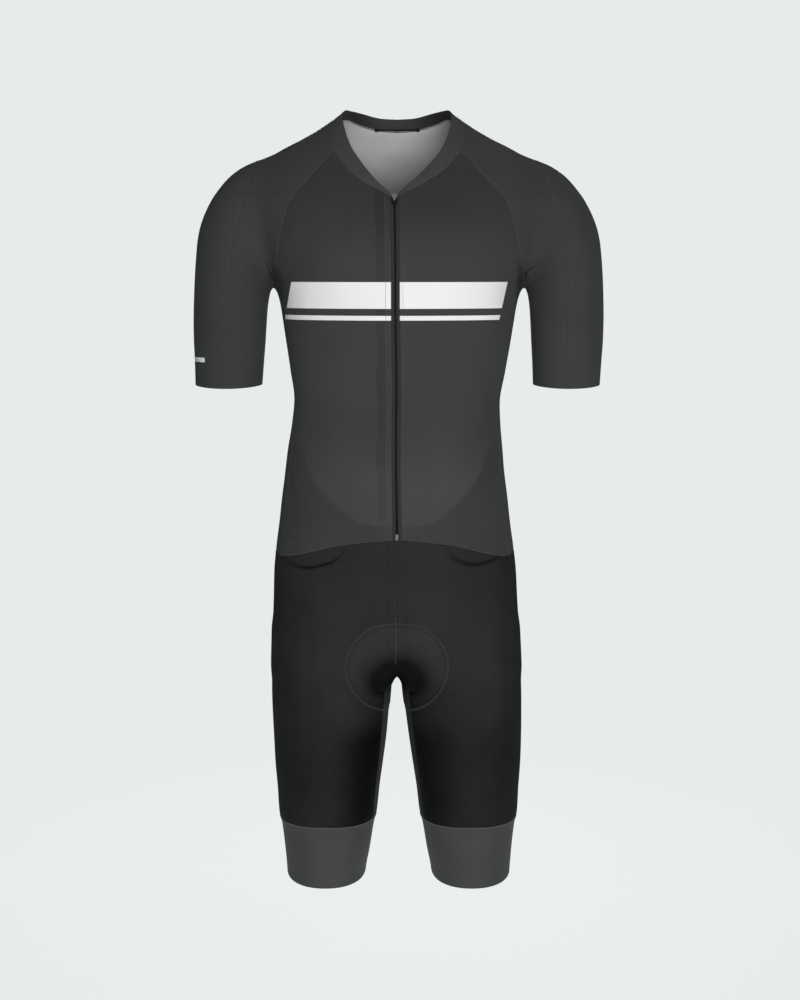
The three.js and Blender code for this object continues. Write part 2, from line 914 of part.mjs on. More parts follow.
function sleeveOuter() {
  const bottom = hemArc(sleeveSeam[0], underarm[0], angleAtHem(sleeveSeam[0]), Math.PI, sleeveOuterCells);
  return fillPiece(sleeveChart, {
    bottom,
    left: sleeveSeam,
    right: join(underarm, raglanBack),
    top: collarSeamSleeveOuter,
  }, -Math.PI / 2);
}

// The collar lies between its seam and its top edge, all round the neck
function collar() {
  const sleeveSeams = join(collarSeamSleeveFront, collarSeamSleeveOuter);
  const lowerHalf = [collarSeamFront, sleeveSeams, collarSeamBack].reduce(join);
  const guides = collarTopRows.slice(1).map((row) => new THREE.Vector3(...row));
  const topCurve = new THREE.CatmullRomCurve3(guides, false, 'centripetal');
  const lengths = [0];
  for (let i = 1; i < lowerHalf.length; i += 1) {
    lengths.push(lengths[i - 1] + lowerHalf[i].distanceTo(lowerHalf[i - 1]));
  }
  const total = lengths[lengths.length - 1];
  const upperHalf = lengths.map((length) => layOnFigure(topCurve.getPointAt(length / total)));
  return Array.from({ length: collarCells + 1 }, (unused, j) => {
    const half = lowerHalf.map((low, i) => {
      if (j === 0) return low;
      return layOnFigure(low.clone().lerp(upperHalf[i], j / collarCells));
    });
    return join(half, reversed(mirrored(half)));
  });
}

function shortsFront() {
  return fillPiece(legChart, {
    bottom: cuffTopFront,
    left: join(innerSeamFront, seam(frontCentreRows, lowerSideCells + upperSideCells - innerSeamCells)),
    right: join(lowerSideSeam, upperSideSeam),
    top: seam(underlapRows, shortsFrontCells),
  });
}

function shortsBack() {
  return fillPiece(legChart, {
    bottom: cuffTopBack,
    left: lowerSideSeam,
    right: join(innerSeamBack, seam(backCentreRows, lowerSideCells - innerSeamCells)),
    top: waistBack,
  }, Math.PI / 2);
}

function innerThigh() {
  return fillPiece(legChart, {
    bottom: reversed(cuffTopInner),
    left: innerSeamFront,
    right: innerSeamBack,
    top: crotchSeam,
  }, -Math.PI / 3);
}

// The cuff's lower edge dips a little at the front
function legCuff() {
  const topRing = [cuffTopFront, cuffTopBack, cuffTopInner].reduce(join);
  return Array.from({ length: cuffCells + 1 }, (unused, j) => topRing.map((point) => {
    if (j === cuffCells) return point.clone();
    const angle = legChart.toFlat(point)[0];
    const frontShare = Math.max(0, Math.cos(angle));
    const bottomZ = cuffBottomSideZ + (cuffBottomFrontZ - cuffBottomSideZ) * frontShare;
    return chartRay(legChart, angle, bottomZ + ((point.z - bottomZ) * j) / cuffCells);
  }));
}

// A strip up the zip, between two distances from the centre
function zipStrip(fromX, toX, fromZ, cells) {
  const left = zipLine(fromX, fromZ, neckPointZ, cells);
  const right = zipLine(toX, fromZ, neckPointZ, cells);
  return left.map((point, j) => [point, right[j]]);
}

function zipPieces() {
  const tapeLift = (point) => jerseyLift(point) - tapeDrop;
  const tapeOptions = { lift: tapeLift, thickness: tapeThickness };
  const tapeRows = zipStrip(tapeInnerX, panelEdgeX, frontHemZ, zipCells);
  const tapes = bothSides('zip_tape', blackTape, tapeRows, tapeOptions);
  const coilRows = zipStrip(-coilHalfWidth - seamGap / 2, coilHalfWidth + seamGap / 2, frontHemZ, zipCells);
  const coil = clothWall('zip_coil', blackTape, coilRows, {
    lift: (point) => jerseyLift(point) + coilLift,
    thickness: coilThickness,
  });
  const guardCells = zipCells - 1;
  const guardRows = zipLine(guardLeftX, guardBottomZ, guardTopZ, guardCells).map((point) => [
    point,
    frontPoint(guardMiddleX, point.z),
    frontPoint(guardRightX, point.z),
  ]);
  const guard = clothWall('zip_guard', bandCloth, guardRows, {
    lift: (point) => jerseyLift(point) - clothThickness - layerGap,
    thickness: tapeThickness,
  });
  return [...tapes, coil, guard];
}

const wasm = await Module();
wasm.setup();

function toSolid(geometry) {
  const bare = geometry.clone();
  bare.deleteAttribute('normal');
  bare.deleteAttribute('uv');
  const merged = mergeVertices(bare);
  const triVerts = new Uint32Array(merged.index.array);
  const vertProperties = merged.attributes.position.array;
  return new wasm.Manifold(new wasm.Mesh({ numProp: 3, vertProperties, triVerts }));
}

function toGeometry(solid) {
  const { vertProperties, triVerts } = solid.getMesh();
  const geometry = new THREE.BufferGeometry();
  geometry.setAttribute('position', new THREE.Float32BufferAttribute(vertProperties, 3));
  geometry.setIndex(Array.from(triVerts));
  geometry.computeVertexNormals();
  return geometry;
}

function extrude(shape, depth) {
  return new THREE.ExtrudeGeometry(shape, { depth, bevelEnabled: false, curveSegments: 6 });
}

// A flat shape drawn in X and Z, standing out towards -Y from the given depth
function plate(shape, backY, thickness) {
  return extrude(shape, thickness).rotateX(Math.PI / 2).translate(0, backY, 0);
}

function sliderGeometry() {
  const body = new THREE.Shape();
  body.moveTo(-sliderBottomHalfWidth, -sliderHalfLength);
  body.lineTo(sliderBottomHalfWidth, -sliderHalfLength);
  body.lineTo(sliderTopHalfWidth, sliderShoulderZ);
  body.quadraticCurveTo(sliderTopHalfWidth, sliderHalfLength, 0, sliderHalfLength);
  body.quadraticCurveTo(-sliderTopHalfWidth, sliderHalfLength, -sliderTopHalfWidth, sliderShoulderZ);
  body.closePath();
  const bailSide = new THREE.Shape();
  const rootY = bailRoot - sliderThickness;
  const outerY = hingeY - bailReach;
  bailSide.moveTo(rootY, hingeZ - bailReach);
  bailSide.lineTo(rootY, hingeZ + bailReach);
  bailSide.lineTo(hingeY, hingeZ + bailReach);
  bailSide.quadraticCurveTo(outerY, hingeZ + bailReach, outerY, hingeZ);
  bailSide.quadraticCurveTo(outerY, hingeZ - bailReach, hingeY, hingeZ - bailReach);
  bailSide.closePath();
  const hole = new THREE.Path();
  hole.absarc(hingeY, hingeZ, bailHoleRadius, 0, 2 * Math.PI, true);
  bailSide.holes.push(hole);
  const bail = extrude(bailSide, 2 * bailHalfWidth);
  const axes = [new THREE.Vector3(0, 1, 0), new THREE.Vector3(0, 0, 1), new THREE.Vector3(1, 0, 0)];
  bail.applyMatrix4(new THREE.Matrix4().makeBasis(...axes)).translate(-bailHalfWidth, 0, 0);
  return toGeometry(toSolid(plate(body, 0, sliderThickness)).add(toSolid(bail)));
}

// The pull tab about its own hinge: a pin through the bail, two short arms and a pointed tab
function pullGeometry() {
  const tab = new THREE.Shape();
  tab.moveTo(-pullHalfWidth, pullPinRadius);
  tab.lineTo(-pullHalfWidth, -pullWaist);
  tab.lineTo(-pullTipHalfWidth, -pullLength);
  tab.lineTo(pullTipHalfWidth, -pullLength);
  tab.lineTo(pullHalfWidth, -pullWaist);
  tab.lineTo(pullHalfWidth, pullPinRadius);
  tab.lineTo(pullWindowHalfWidth, pullPinRadius);
  tab.lineTo(pullWindowHalfWidth, -pullWindowDrop);
  tab.lineTo(-pullWindowHalfWidth, -pullWindowDrop);
  tab.lineTo(-pullWindowHalfWidth, pullPinRadius);
  tab.closePath();
  const pinLength = 2 * (pullWindowHalfWidth + pinEndLength);
  const pin = new THREE.CylinderGeometry(pullPinRadius, pullPinRadius, pinLength, 12).rotateZ(Math.PI / 2);
  return toGeometry(toSolid(plate(tab, pullThickness / 2, pullThickness)).add(toSolid(pin)));
}

// Where a small hard piece sits in front of the coil, turned to face straight out of the cloth
function frontSeat(z) {
  const point = frontPoint(0, z);
  const normal = gradient(point).normalize();
  const seat = new THREE.Group();
  seat.position.copy(point).addScaledVector(normal, jerseyLift(point) + coilLift + seamGap);
  leanOver(seat.position);
  seat.rotation.x = -Math.atan2(normal.z, -normal.y);
  return seat;
}

function zipHardware() {
  const slider = new THREE.Mesh(sliderGeometry(), sliderMetal);
  slider.name = 'zip_slider';
  const pull = new THREE.Mesh(pullGeometry(), pullPlastic);
  pull.name = 'zip_pull';
  pull.position.set(0, hingeY, hingeZ);
  pull.rotation.x = THREE.MathUtils.degToRad(pullTilt);
  const sliderSeat = frontSeat(sliderZ);
  sliderSeat.add(slider, pull);
  const stopBox = new THREE.BoxGeometry(2 * stopHalfWidth, stopThickness, stopHeight);
  const stop = new THREE.Mesh(stopBox.translate(0, -stopThickness / 2, 0), sliderMetal);
  stop.name = 'zip_stop';
  const stopSeat = frontSeat(stopZ);
  stopSeat.add(stop);
  return [sliderSeat, stopSeat];
}

// The black tape inside the back neck lies on the collar's inner face
function neckTape() {
  const rows = neckTapeHeights.map((z) => Array.from({ length: neckTapeCells + 1 }, (unused, i) => {
    const x = -neckTapeHalfLength + (2 * neckTapeHalfLength * i) / neckTapeCells;
    return castRay(new THREE.Vector3(x, 0, z), new THREE.Vector3(0, 1, 0));
  }));
  return clothWall('neck_tape', blackTape, rows, {
    lift: () => -clothThickness - layerGap,
    thickness: tapeThickness,
  });
}

const suit = new THREE.Group();
suit.add(...bothSides('jersey_front', jerseyCloth, jerseyFront(), { lift: jerseyLift }));
suit.add(clothWall('jersey_back', jerseyCloth, jerseyBack()));
suit.add(...bothSides('sleeve_front', jerseyCloth, sleeveFront()));
suit.add(...bothSides('sleeve_outer', jerseyCloth, sleeveOuter()));
suit.add(clothWall('collar', bandCloth, collar()));
suit.add(neckTape());
suit.add(...zipPieces());
suit.add(...zipHardware());
suit.add(...bothSides('shorts_front', shortsCloth, shortsFront(), { lift: underlapLift }));
suit.add(...bothSides('shorts_back', shortsCloth, shortsBack()));
suit.add(...bothSides('inner_thigh', panelCloth, innerThigh()));
suit.add(...bothSides('leg_cuff', bandCloth, legCuff(), { closed: true }));

export default suit;
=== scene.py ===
"""Looks of a short-sleeved triathlon suit, shown in its worn form with nobody in it.

The tables are in millimetres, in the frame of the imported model: +Z up, the front faces -Y,
+X is the wearer's left. Blender's objects are in metres.
"""
import math

import bpy
import numpy as np
from mathutils import Matrix, Vector

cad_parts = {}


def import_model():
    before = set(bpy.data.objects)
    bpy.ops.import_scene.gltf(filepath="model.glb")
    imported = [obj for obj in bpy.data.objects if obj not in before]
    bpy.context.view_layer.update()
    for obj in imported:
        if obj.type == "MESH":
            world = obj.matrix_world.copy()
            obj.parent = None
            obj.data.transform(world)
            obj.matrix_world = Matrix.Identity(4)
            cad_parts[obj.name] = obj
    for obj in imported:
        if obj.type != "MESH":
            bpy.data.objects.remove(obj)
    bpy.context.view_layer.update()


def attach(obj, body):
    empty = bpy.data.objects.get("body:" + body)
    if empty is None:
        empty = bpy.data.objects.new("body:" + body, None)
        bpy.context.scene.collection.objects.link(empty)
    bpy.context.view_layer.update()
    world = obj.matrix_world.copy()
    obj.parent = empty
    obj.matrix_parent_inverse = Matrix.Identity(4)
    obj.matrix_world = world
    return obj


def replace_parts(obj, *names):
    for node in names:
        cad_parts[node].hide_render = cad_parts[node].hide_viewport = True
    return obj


MM = 0.001
SUIT = "suit"
PULL_TAB = "pull_tab"

# Cloth, in millimetres: its walls roll in by a share of the drop on the first and second row from each edge
CLOTH_THICKNESS = 0.9
TAPE_THICKNESS = 0.6
EDGE_DROP = 0.42
EDGE_DROP_SHARES = (1.0, 0.25)
INNER_DROP_SHARE = 0.3
EDGE_ROW = 0.28

# Main places, in millimetres
FRONT_HEM_Z = -560
NECK_POINT_Z = -114
ARMPIT_X = 164
ARMPIT_Z = -230
CROTCH_DARK_Z = -750

# The jersey front stands away from the shorts above its hem, less so at the sides
LOOSE_TOP_Z = -425
LOOSE_BOTTOM_Z = -480
LOOSE_HEM = 3.4
LOOSE_SIDE_LOSS = 0.85
LOOSE_INNER_X = 95
LOOSE_OUTER_X = 145

# The shorts front is drawn in under the jersey
UNDERLAP_TOP_Z = -592
UNDERLAP_BOTTOM_Z = -616
UNDERLAP_SIDE_RISE = 18
UNDERLAP_DEPTH = 1.9
UNDERLAP_SIDE_LOSS = 0.5
UNDERLAP_INNER_X = 110
UNDERLAP_OUTER_X = 148

# Zip, in millimetres
PANEL_EDGE_X = 5.6
PLACKET_STITCH_X = 9.8
TAPE_INNER_X = 1.2
TAPE_SINK = 0.35
TAPE_LINES = 5
GUARD_LEFT_X = -25
GUARD_RIGHT_X = 9
GUARD_STITCH_X = -12.5
GUARD_BOTTOM_Z = -534
GUARD_TOP_Z = -122
GUARD_SINK = 0.9
GUARD_LINES = 12
COIL_LIFT = 0.3
COIL_PITCH = 1.35
COIL_TURN_REACH = 1.0
COIL_TURN_OVERLAP = 0.6
COIL_ROOT_REACH = 0.95
SEAM_GAP = 0.3

# Hanging tape inside the neck, in millimetres
NECK_TAPE_HALF_LENGTH = 31.0
NECK_TAPE_Z = -19.6
NECK_TAPE_HALF_HEIGHT = 1.1
NECK_TAPE_TACK_RISE = 1.5
NECK_TAPE_TACK_START = 24
NECK_TAPE_TACK_END = 28
NECK_TAPE_SINK = 1.4
NECK_TAPE_BOW = 0.9
NECK_TAPE_LINES = 6
NECK_TAPE_POINTS = 60

# Slider, pull tab and bottom stop, in millimetres; the slider's own frame has -Y outward and +Z up the zip
SLIDER_Z = -117
SLIDER_TOP_HALF_WIDTH = 3.7
SLIDER_BOTTOM_HALF_WIDTH = 2.6
SLIDER_HALF_LENGTH = 4.8
SLIDER_SHOULDER_Z = 0.5
SLIDER_NECK_WIDTH_SHARE = 0.78
SLIDER_NECK_HEIGHT_SHARE = 0.85
SLIDER_THICKNESS = 1.8
SLIDER_RIB_BOTTOM_HALF_WIDTH = 1.6
SLIDER_RIB_TOP_HALF_WIDTH = 2.2
SLIDER_RIB_SHOULDER_Z = 0.4
SLIDER_RIB_INSET = 0.8
BAIL_HALF_WIDTH = 0.9
BAIL_REACH = 1.5
BAIL_HOLE_RADIUS = 0.85
BAIL_HOLE_SIDES = 19
HINGE_Y = -2.9
HINGE_Z = -3.2
PULL_PIN_RADIUS = 0.5
PULL_PIN_HALF_LENGTH = 1.9
PIN_SIDES = 16
PULL_HALF_WIDTH = 3.4
PULL_TIP_HALF_WIDTH = 0.8
PULL_THICKNESS = 1.1
PULL_WINDOW_HALF_WIDTH = 1.4
PULL_WINDOW_DROP = 2.5
PULL_WAIST = 6.8
PULL_LENGTH = 9.2
PULL_TILT = 9
PULL_RIB_HEIGHTS = (-3.9, -5.1, -6.3)
PULL_RIB_HALF_WIDTH = 2.2
PULL_RIB_HALF_HEIGHT = 0.3
STOP_Z = -555.5
STOP_HALF_WIDTH = 1.8
STOP_HALF_HEIGHT = 4
STOP_BAR_HEIGHTS = (-2.4, 2.4)
STOP_BAR_HALF_HEIGHT = 0.7

# Fine cells along and across the pieces
RAGLAN_CELLS = 76
UNDERARM_CELLS = 46
SIDE_CELLS = 128
FRONT_CELLS = 56
BACK_HALF_CELLS = 70
SLEEVE_FRONT_CELLS = 26
SLEEVE_OUTER_CELLS = 78
SHORTS_FRONT_CELLS = 66
INNER_THIGH_CELLS = 24
INNER_SEAM_CELLS = 72
LOWER_SIDE_CELLS = 126
UPPER_SIDE_CELLS = 54
CUFF_CELLS = 28
COLLAR_CELLS = 8
COLLAR_TOP_POINTS = 400
ZIP_CELLS = SIDE_CELLS + RAGLAN_CELLS
GUARD_CELLS = ZIP_CELLS - 8
STITCH_LINE_CELLS = 200

# General figure, as horizontal sections: half width, depth to the front and back, and roundness
TRUNK_ROWS = (
    ("z", "half_width", "front", "back", "power"),
    (30, 58, 42, 52, 2),
    (6, 66, 44, 57, 2),
    (-2, 72, 45, 60, 2),
    (-10, 82, 46, 62, 2),
    (-25, 104, 49, 68, 2),
    (-38, 127, 55, 76, 2),
    (-51, 153, 62, 83, 2),
    (-64, 172, 68, 90, 2.05),
    (-78, 190, 75, 96, 2.1),
    (-91, 202, 82, 100, 2.15),
    (-104, 208, 87, 104, 2.2),
    (-117, 214, 93, 107, 2.25),
    (-143, 203, 102, 112, 2.3),
    (-170, 190, 110, 115, 2.3),
    (-200, 176, 116, 117, 2.3),
    (-232, 163, 118, 116, 2.3),
    (-250, 159, 117, 114, 2.3),
    (-276, 155, 115, 111, 2.3),
    (-303, 151, 112, 107, 2.3),
    (-343, 144.5, 105, 99, 2.3),
    (-384, 138.5, 99, 93, 2.25),
    (-416, 140.7, 98, 94, 2.25),
    (-449, 145, 100, 98, 2.25),
    (-482, 148.6, 103, 106, 2.25),
    (-515, 153, 105, 114, 2.25),
    (-547, 156.6, 107, 121, 2.25),
    (-580, 161, 108, 127, 2.3),
    (-614, 164.6, 108, 131, 2.35),
    (-647, 166, 107, 132, 2.35),
    (-680, 167.5, 105, 130, 2.35),
    (-714, 168, 102, 124, 2.35),
    (-764, 166, 94, 108, 2.35),
)
ARM_ROWS = (
    ("z", "centre", "half_width", "front", "back", "power"),
    (-60, 188, 50, 56, 56, 2),
    (-100, 202, 50, 57, 57, 2),
    (-130, 211, 50, 58, 58, 2),
    (-160, 217, 50, 58, 58, 2),
    (-200, 222, 49.5, 57, 57, 2.1),
    (-232, 224.5, 49.2, 55, 55, 2.1),
    (-276, 226.4, 48.9, 53, 54, 2.1),
    (-303, 226.8, 48.2, 52, 53, 2.1),
    (-330, 227, 46.6, 50, 51, 2.1),
    (-370, 227.4, 44.6, 48, 49, 2.1),
)
LEG_ROWS = (
    ("z", "centre", "half_width", "front", "back", "power"),
    (-640, 84, 78, 82, 108, 2.2),
    (-700, 85, 82, 90, 112, 2.2),
    (-740, 87.5, 82.5, 94, 109, 2.2),
    (-764, 88.9, 82, 95, 105, 2.2),
    (-781, 89.9, 81.4, 95, 102, 2.2),
    (-815, 91.5, 79.4, 92, 98, 2.2),
    (-849, 93, 77, 88, 93, 2.2),
    (-883, 94.8, 74, 84, 88, 2.2),
    (-917, 96, 70.4, 80, 84, 2.2),
    (-951, 97, 67.7, 76, 79, 2.2),
    (-968, 97.3, 63.9, 72, 75, 2.2),
    (-1003, 98.2, 59.1, 67, 69, 2.2),
    (-1037, 100, 54.8, 62, 64, 2.2),
    (-1060, 100.4, 54, 61, 63, 2.2),
)

# Rounded ends of the figure's parts, and how softly the parts run into each other
SHOULDER_DOME_Z = -178
SHOULDER_DOME_HEIGHT = 102
ARM_END_Z = -430
LEG_DOME_Z = -700
LEG_DOME_HEIGHT = 60
CROTCH_Z = -747
CROTCH_CURVE = 0.2
CROTCH_CURVE_HALF_WIDTH = 10
CROTCH_ROUNDING = 26
ARM_BLEND = 22
LEG_BLEND = 10
CROTCH_BLEND = 10

# The figure leans a little from side to side: how far each height is shifted along X
LEAN_ROWS = (
    ("z", "x"),
    (0, 0),
    (-120, 1.5),
    (-200, 2.5),
    (-300, 2),
    (-360, 1),
    (-400, -0.5),
    (-482, -3),
    (-560, -3),
    (-620, -2.5),
    (-700, -1.5),
    (-780, -0.5),
    (-860, 1),
    (-1050, 2),
)

# The zip and the front seam sway a little more than the sides do
SWAY_ROWS = (
    ("z", "x"),
    (-20, 0),
    (-60, -1.5),
    (-111, -4.6),
    (-250, -4.2),
    (-330, -2.5),
    (-400, -0.5),
    (-480, 2),
    (-560, 3),
    (-690, 3),
    (-750, 1),
    (-800, 0),
)
SWAY_INNER_X = 20
SWAY_OUTER_X = 130
SWAY_INNER_Y = -20
SWAY_OUTER_Y = -80

# The trunk's axis runs out into each leg
LEG_AXIS_ROWS = (
    ("z", "x"),
    (-560, 0),
    (-600, 6),
    (-680, 52),
    (-740, 84),
    (-781, 89.5),
    (-849, 93),
    (-917, 96),
    (-1060, 100),
)

# Sections of the sleeve: a point on the arm's axis and the section's tilt in degrees
SLEEVE_AXIS_ROWS = (
    ("row", "x", "z", "tilt"),
    (-1, 60, -30, 75),
    (0, 84, -42, 70),
    (1, 108, -62, 62),
    (2, 132, -83, 52),
    (3, 155, -105, 42),
    (4, 176, -128, 32),
    (5, 194, -155, 20),
    (6, 208, -185, 8),
    (7, 218, -215, 1),
    (8, 224, -245, 0),
    (9, 226, -280, 0),
    (10, 227, -376, 0),
)

# Seams, as guide points (x, y, z) that are then laid on the figure
COLLAR_SEAM_FRONT = ((5.6, -92, -116), (13, -90, -111), (35, -83, -100), (61, -71, -83), (83, -55, -57))
COLLAR_SEAM_SLEEVE_FRONT = ((83, -55, -57), (88, -42, -40), (89, -24, -24), (88, -6, -13), (86, 12, -11))
COLLAR_SEAM_SLEEVE_OUTER = ((86, 12, -11), (78, 25, -10.5), (68, 35, -10.5))
COLLAR_SEAM_BACK = ((68, 35, -10.5), (55, 50, -15.5), (30, 62, -22.5), (0, 67, -25))
COLLAR_TOP = (
    (5.6, -90, -110),
    (28, -78, -91),
    (44, -70, -72),
    (58.5, -57, -52),
    (68, -40, -28),
    (72, -20, -9),
    (69.5, 4, 1),
    (62, 26, 2),
    (46, 44, -1),
    (24, 57, -5.6),
    (0, 60.5, -7),
)
RAGLAN_FRONT = (
    (168, 0, -232),
    (166.5, -18, -228),
    (163, -38, -217),
    (158.5, -52, -203),
    (154.5, -60, -189),
    (151, -67, -172),
    (148.5, -72, -155),
    (145, -74, -139),
    (140.5, -74, -125),
    (133, -72, -113),
    (121, -70, -100),
    (108, -66, -86),
    (94, -60, -69),
    (83, -55, -57),
)
RAGLAN_BACK = (
    (168, 0, -232),
    (166.5, 18, -228),
    (163, 40, -216),
    (158, 58, -196),
    (152, 74, -168),
    (145, 84, -138),
    (134, 84, -110),
    (117, 78, -82),
    (98, 66, -52),
    (81, 50, -27),
    (68, 35, -10.5),
)
SIDE_SEAM = (
    (154, -47, -589),
    (150, -46, -560),
    (147, -44, -520),
    (142, -40, -480),
    (139, -32, -440),
    (138, -20, -400),
    (143, -8, -350),
    (152, -2, -300),
    (160, 0, -255),
    (168, 0, -232),
)
LOWER_SIDE_SEAM = (
    (161, -18, -957),
    (163, -26, -900),
    (165, -32, -830),
    (163, -38, -760),
    (160, -42, -690),
    (157, -45, -630),
    (154, -47, -589),
)
UPPER_SIDE_SEAM = ((154, -47, -589), (149, -45, -545), (143, -41, -490), (138, -30, -432))
INNER_SEAM_FRONT = (
    (35.3, -31, -957),
    (29.8, -36, -891),
    (25, -41, -848),
    (18.9, -46, -797),
    (9, -56, -766),
    (0, -72, -744),
)
INNER_SEAM_BACK = (
    (37, 34, -957),
    (31, 40, -891),
    (25, 46, -848),
    (18, 52, -797),
    (9, 62, -766),
    (0, 78, -744),
)
CROTCH_SEAM = ((0, -72, -744), (0, -36, -757), (0, 0, -761), (0, 40, -757), (0, 78, -744))
FRONT_CENTRE = ((0, -72, -744), (0, -92, -720), (0, -105, -670), (0, -108, -600), (0, -107, -541))
BACK_CENTRE = ((0, 78, -744), (0, 105, -720), (0, 126, -680), (0, 131, -630), (0, 127, -588))
FRONT_HEM = (
    (5.6, -107, FRONT_HEM_Z),
    (18, -107, -561),
    (46, -105, -564),
    (72, -100, -568),
    (97, -90, -575),
    (120, -77, -582),
    (138, -62, -587),
    (154, -47, -589),
)
WAIST_BACK = (
    (154, -47, -589),
    (161, 0, -588),
    (150, 60, -588),
    (100, 104, -588),
    (50, 122, -588),
    (0, 127, -588),
)
UNDERLAP = (
    (0, -107, -541),
    (30, -106, -541),
    (48, -104, -538),
    (60, -102, -530),
    (75, -97, -518),
    (88, -91, -505),
    (103, -82, -488),
    (115, -72, -467),
    (120, -64, -447),
    (138, -30, -432),
)
CUFF_TOP_FRONT = ((35.3, -31, -957), (60, -60, -957), (97, -75, -957), (135, -60, -957), (161, -18, -957))
CUFF_TOP_BACK = (
    (161, -18, -957),
    (163, 25, -957),
    (130, 66, -957),
    (97, 78, -957),
    (60, 62, -957),
    (37, 34, -957),
)
CUFF_TOP_INNER = ((37, 34, -957), (29, 0, -957), (35.3, -31, -957))
CUFF_BOTTOM_SIDE_Z = -1036
CUFF_BOTTOM_FRONT_Z = -1046
SLEEVE_HEM_INNER_Z = -363
SLEEVE_HEM_FRONT_Z = -366
SLEEVE_SEAM_LOWER = ((222, -48, SLEEVE_HEM_FRONT_Z), (222.5, -51, -301), (222.5, -53, -249))
SLEEVE_SEAM_UPPER = (
    (222.5, -53, -249),
    (222, -54, -216),
    (219, -54, -190),
    (215, -53, -166),
    (208, -51, -140),
    (200, -45, -117),
    (193, -36, -101),
    (187, -18, -80),
    (180, 2, -66),
    (150, 14, -52),
    (118, 15, -34),
    (86, 12, -11),
)
UNDERARM = ((180, 0, SLEEVE_HEM_INNER_Z), (176, 0, -310), (172, 0, -260), (168, 0, -232))

# Short pinched folds under the arms, drawn in the knit's material as a bump and as painted shade: both ends
# in X and Z, seen from the front, then the half width and the depth at the start, as a share of the depth at
# the end
ARMPIT_FOLDS = (
    ("start_x", "start_z", "end_x", "end_z", "half_width", "start_depth"),
    (158, -195, 163, -233, 2.3, 0.3),
    (163, -194, 165.5, -228, 1.9, 0.3),
    (181, -205, 171, -213, 2.2, 0.3),
    (171, -213, 165, -234, 3.2, 0.8),
    (-174, -200, -163, -224, 1.8, 0.3),
    (-167, -197, -160, -222, 1.8, 0.3),
    (-162, -220, -164, -236, 3.2, 0.7),
)

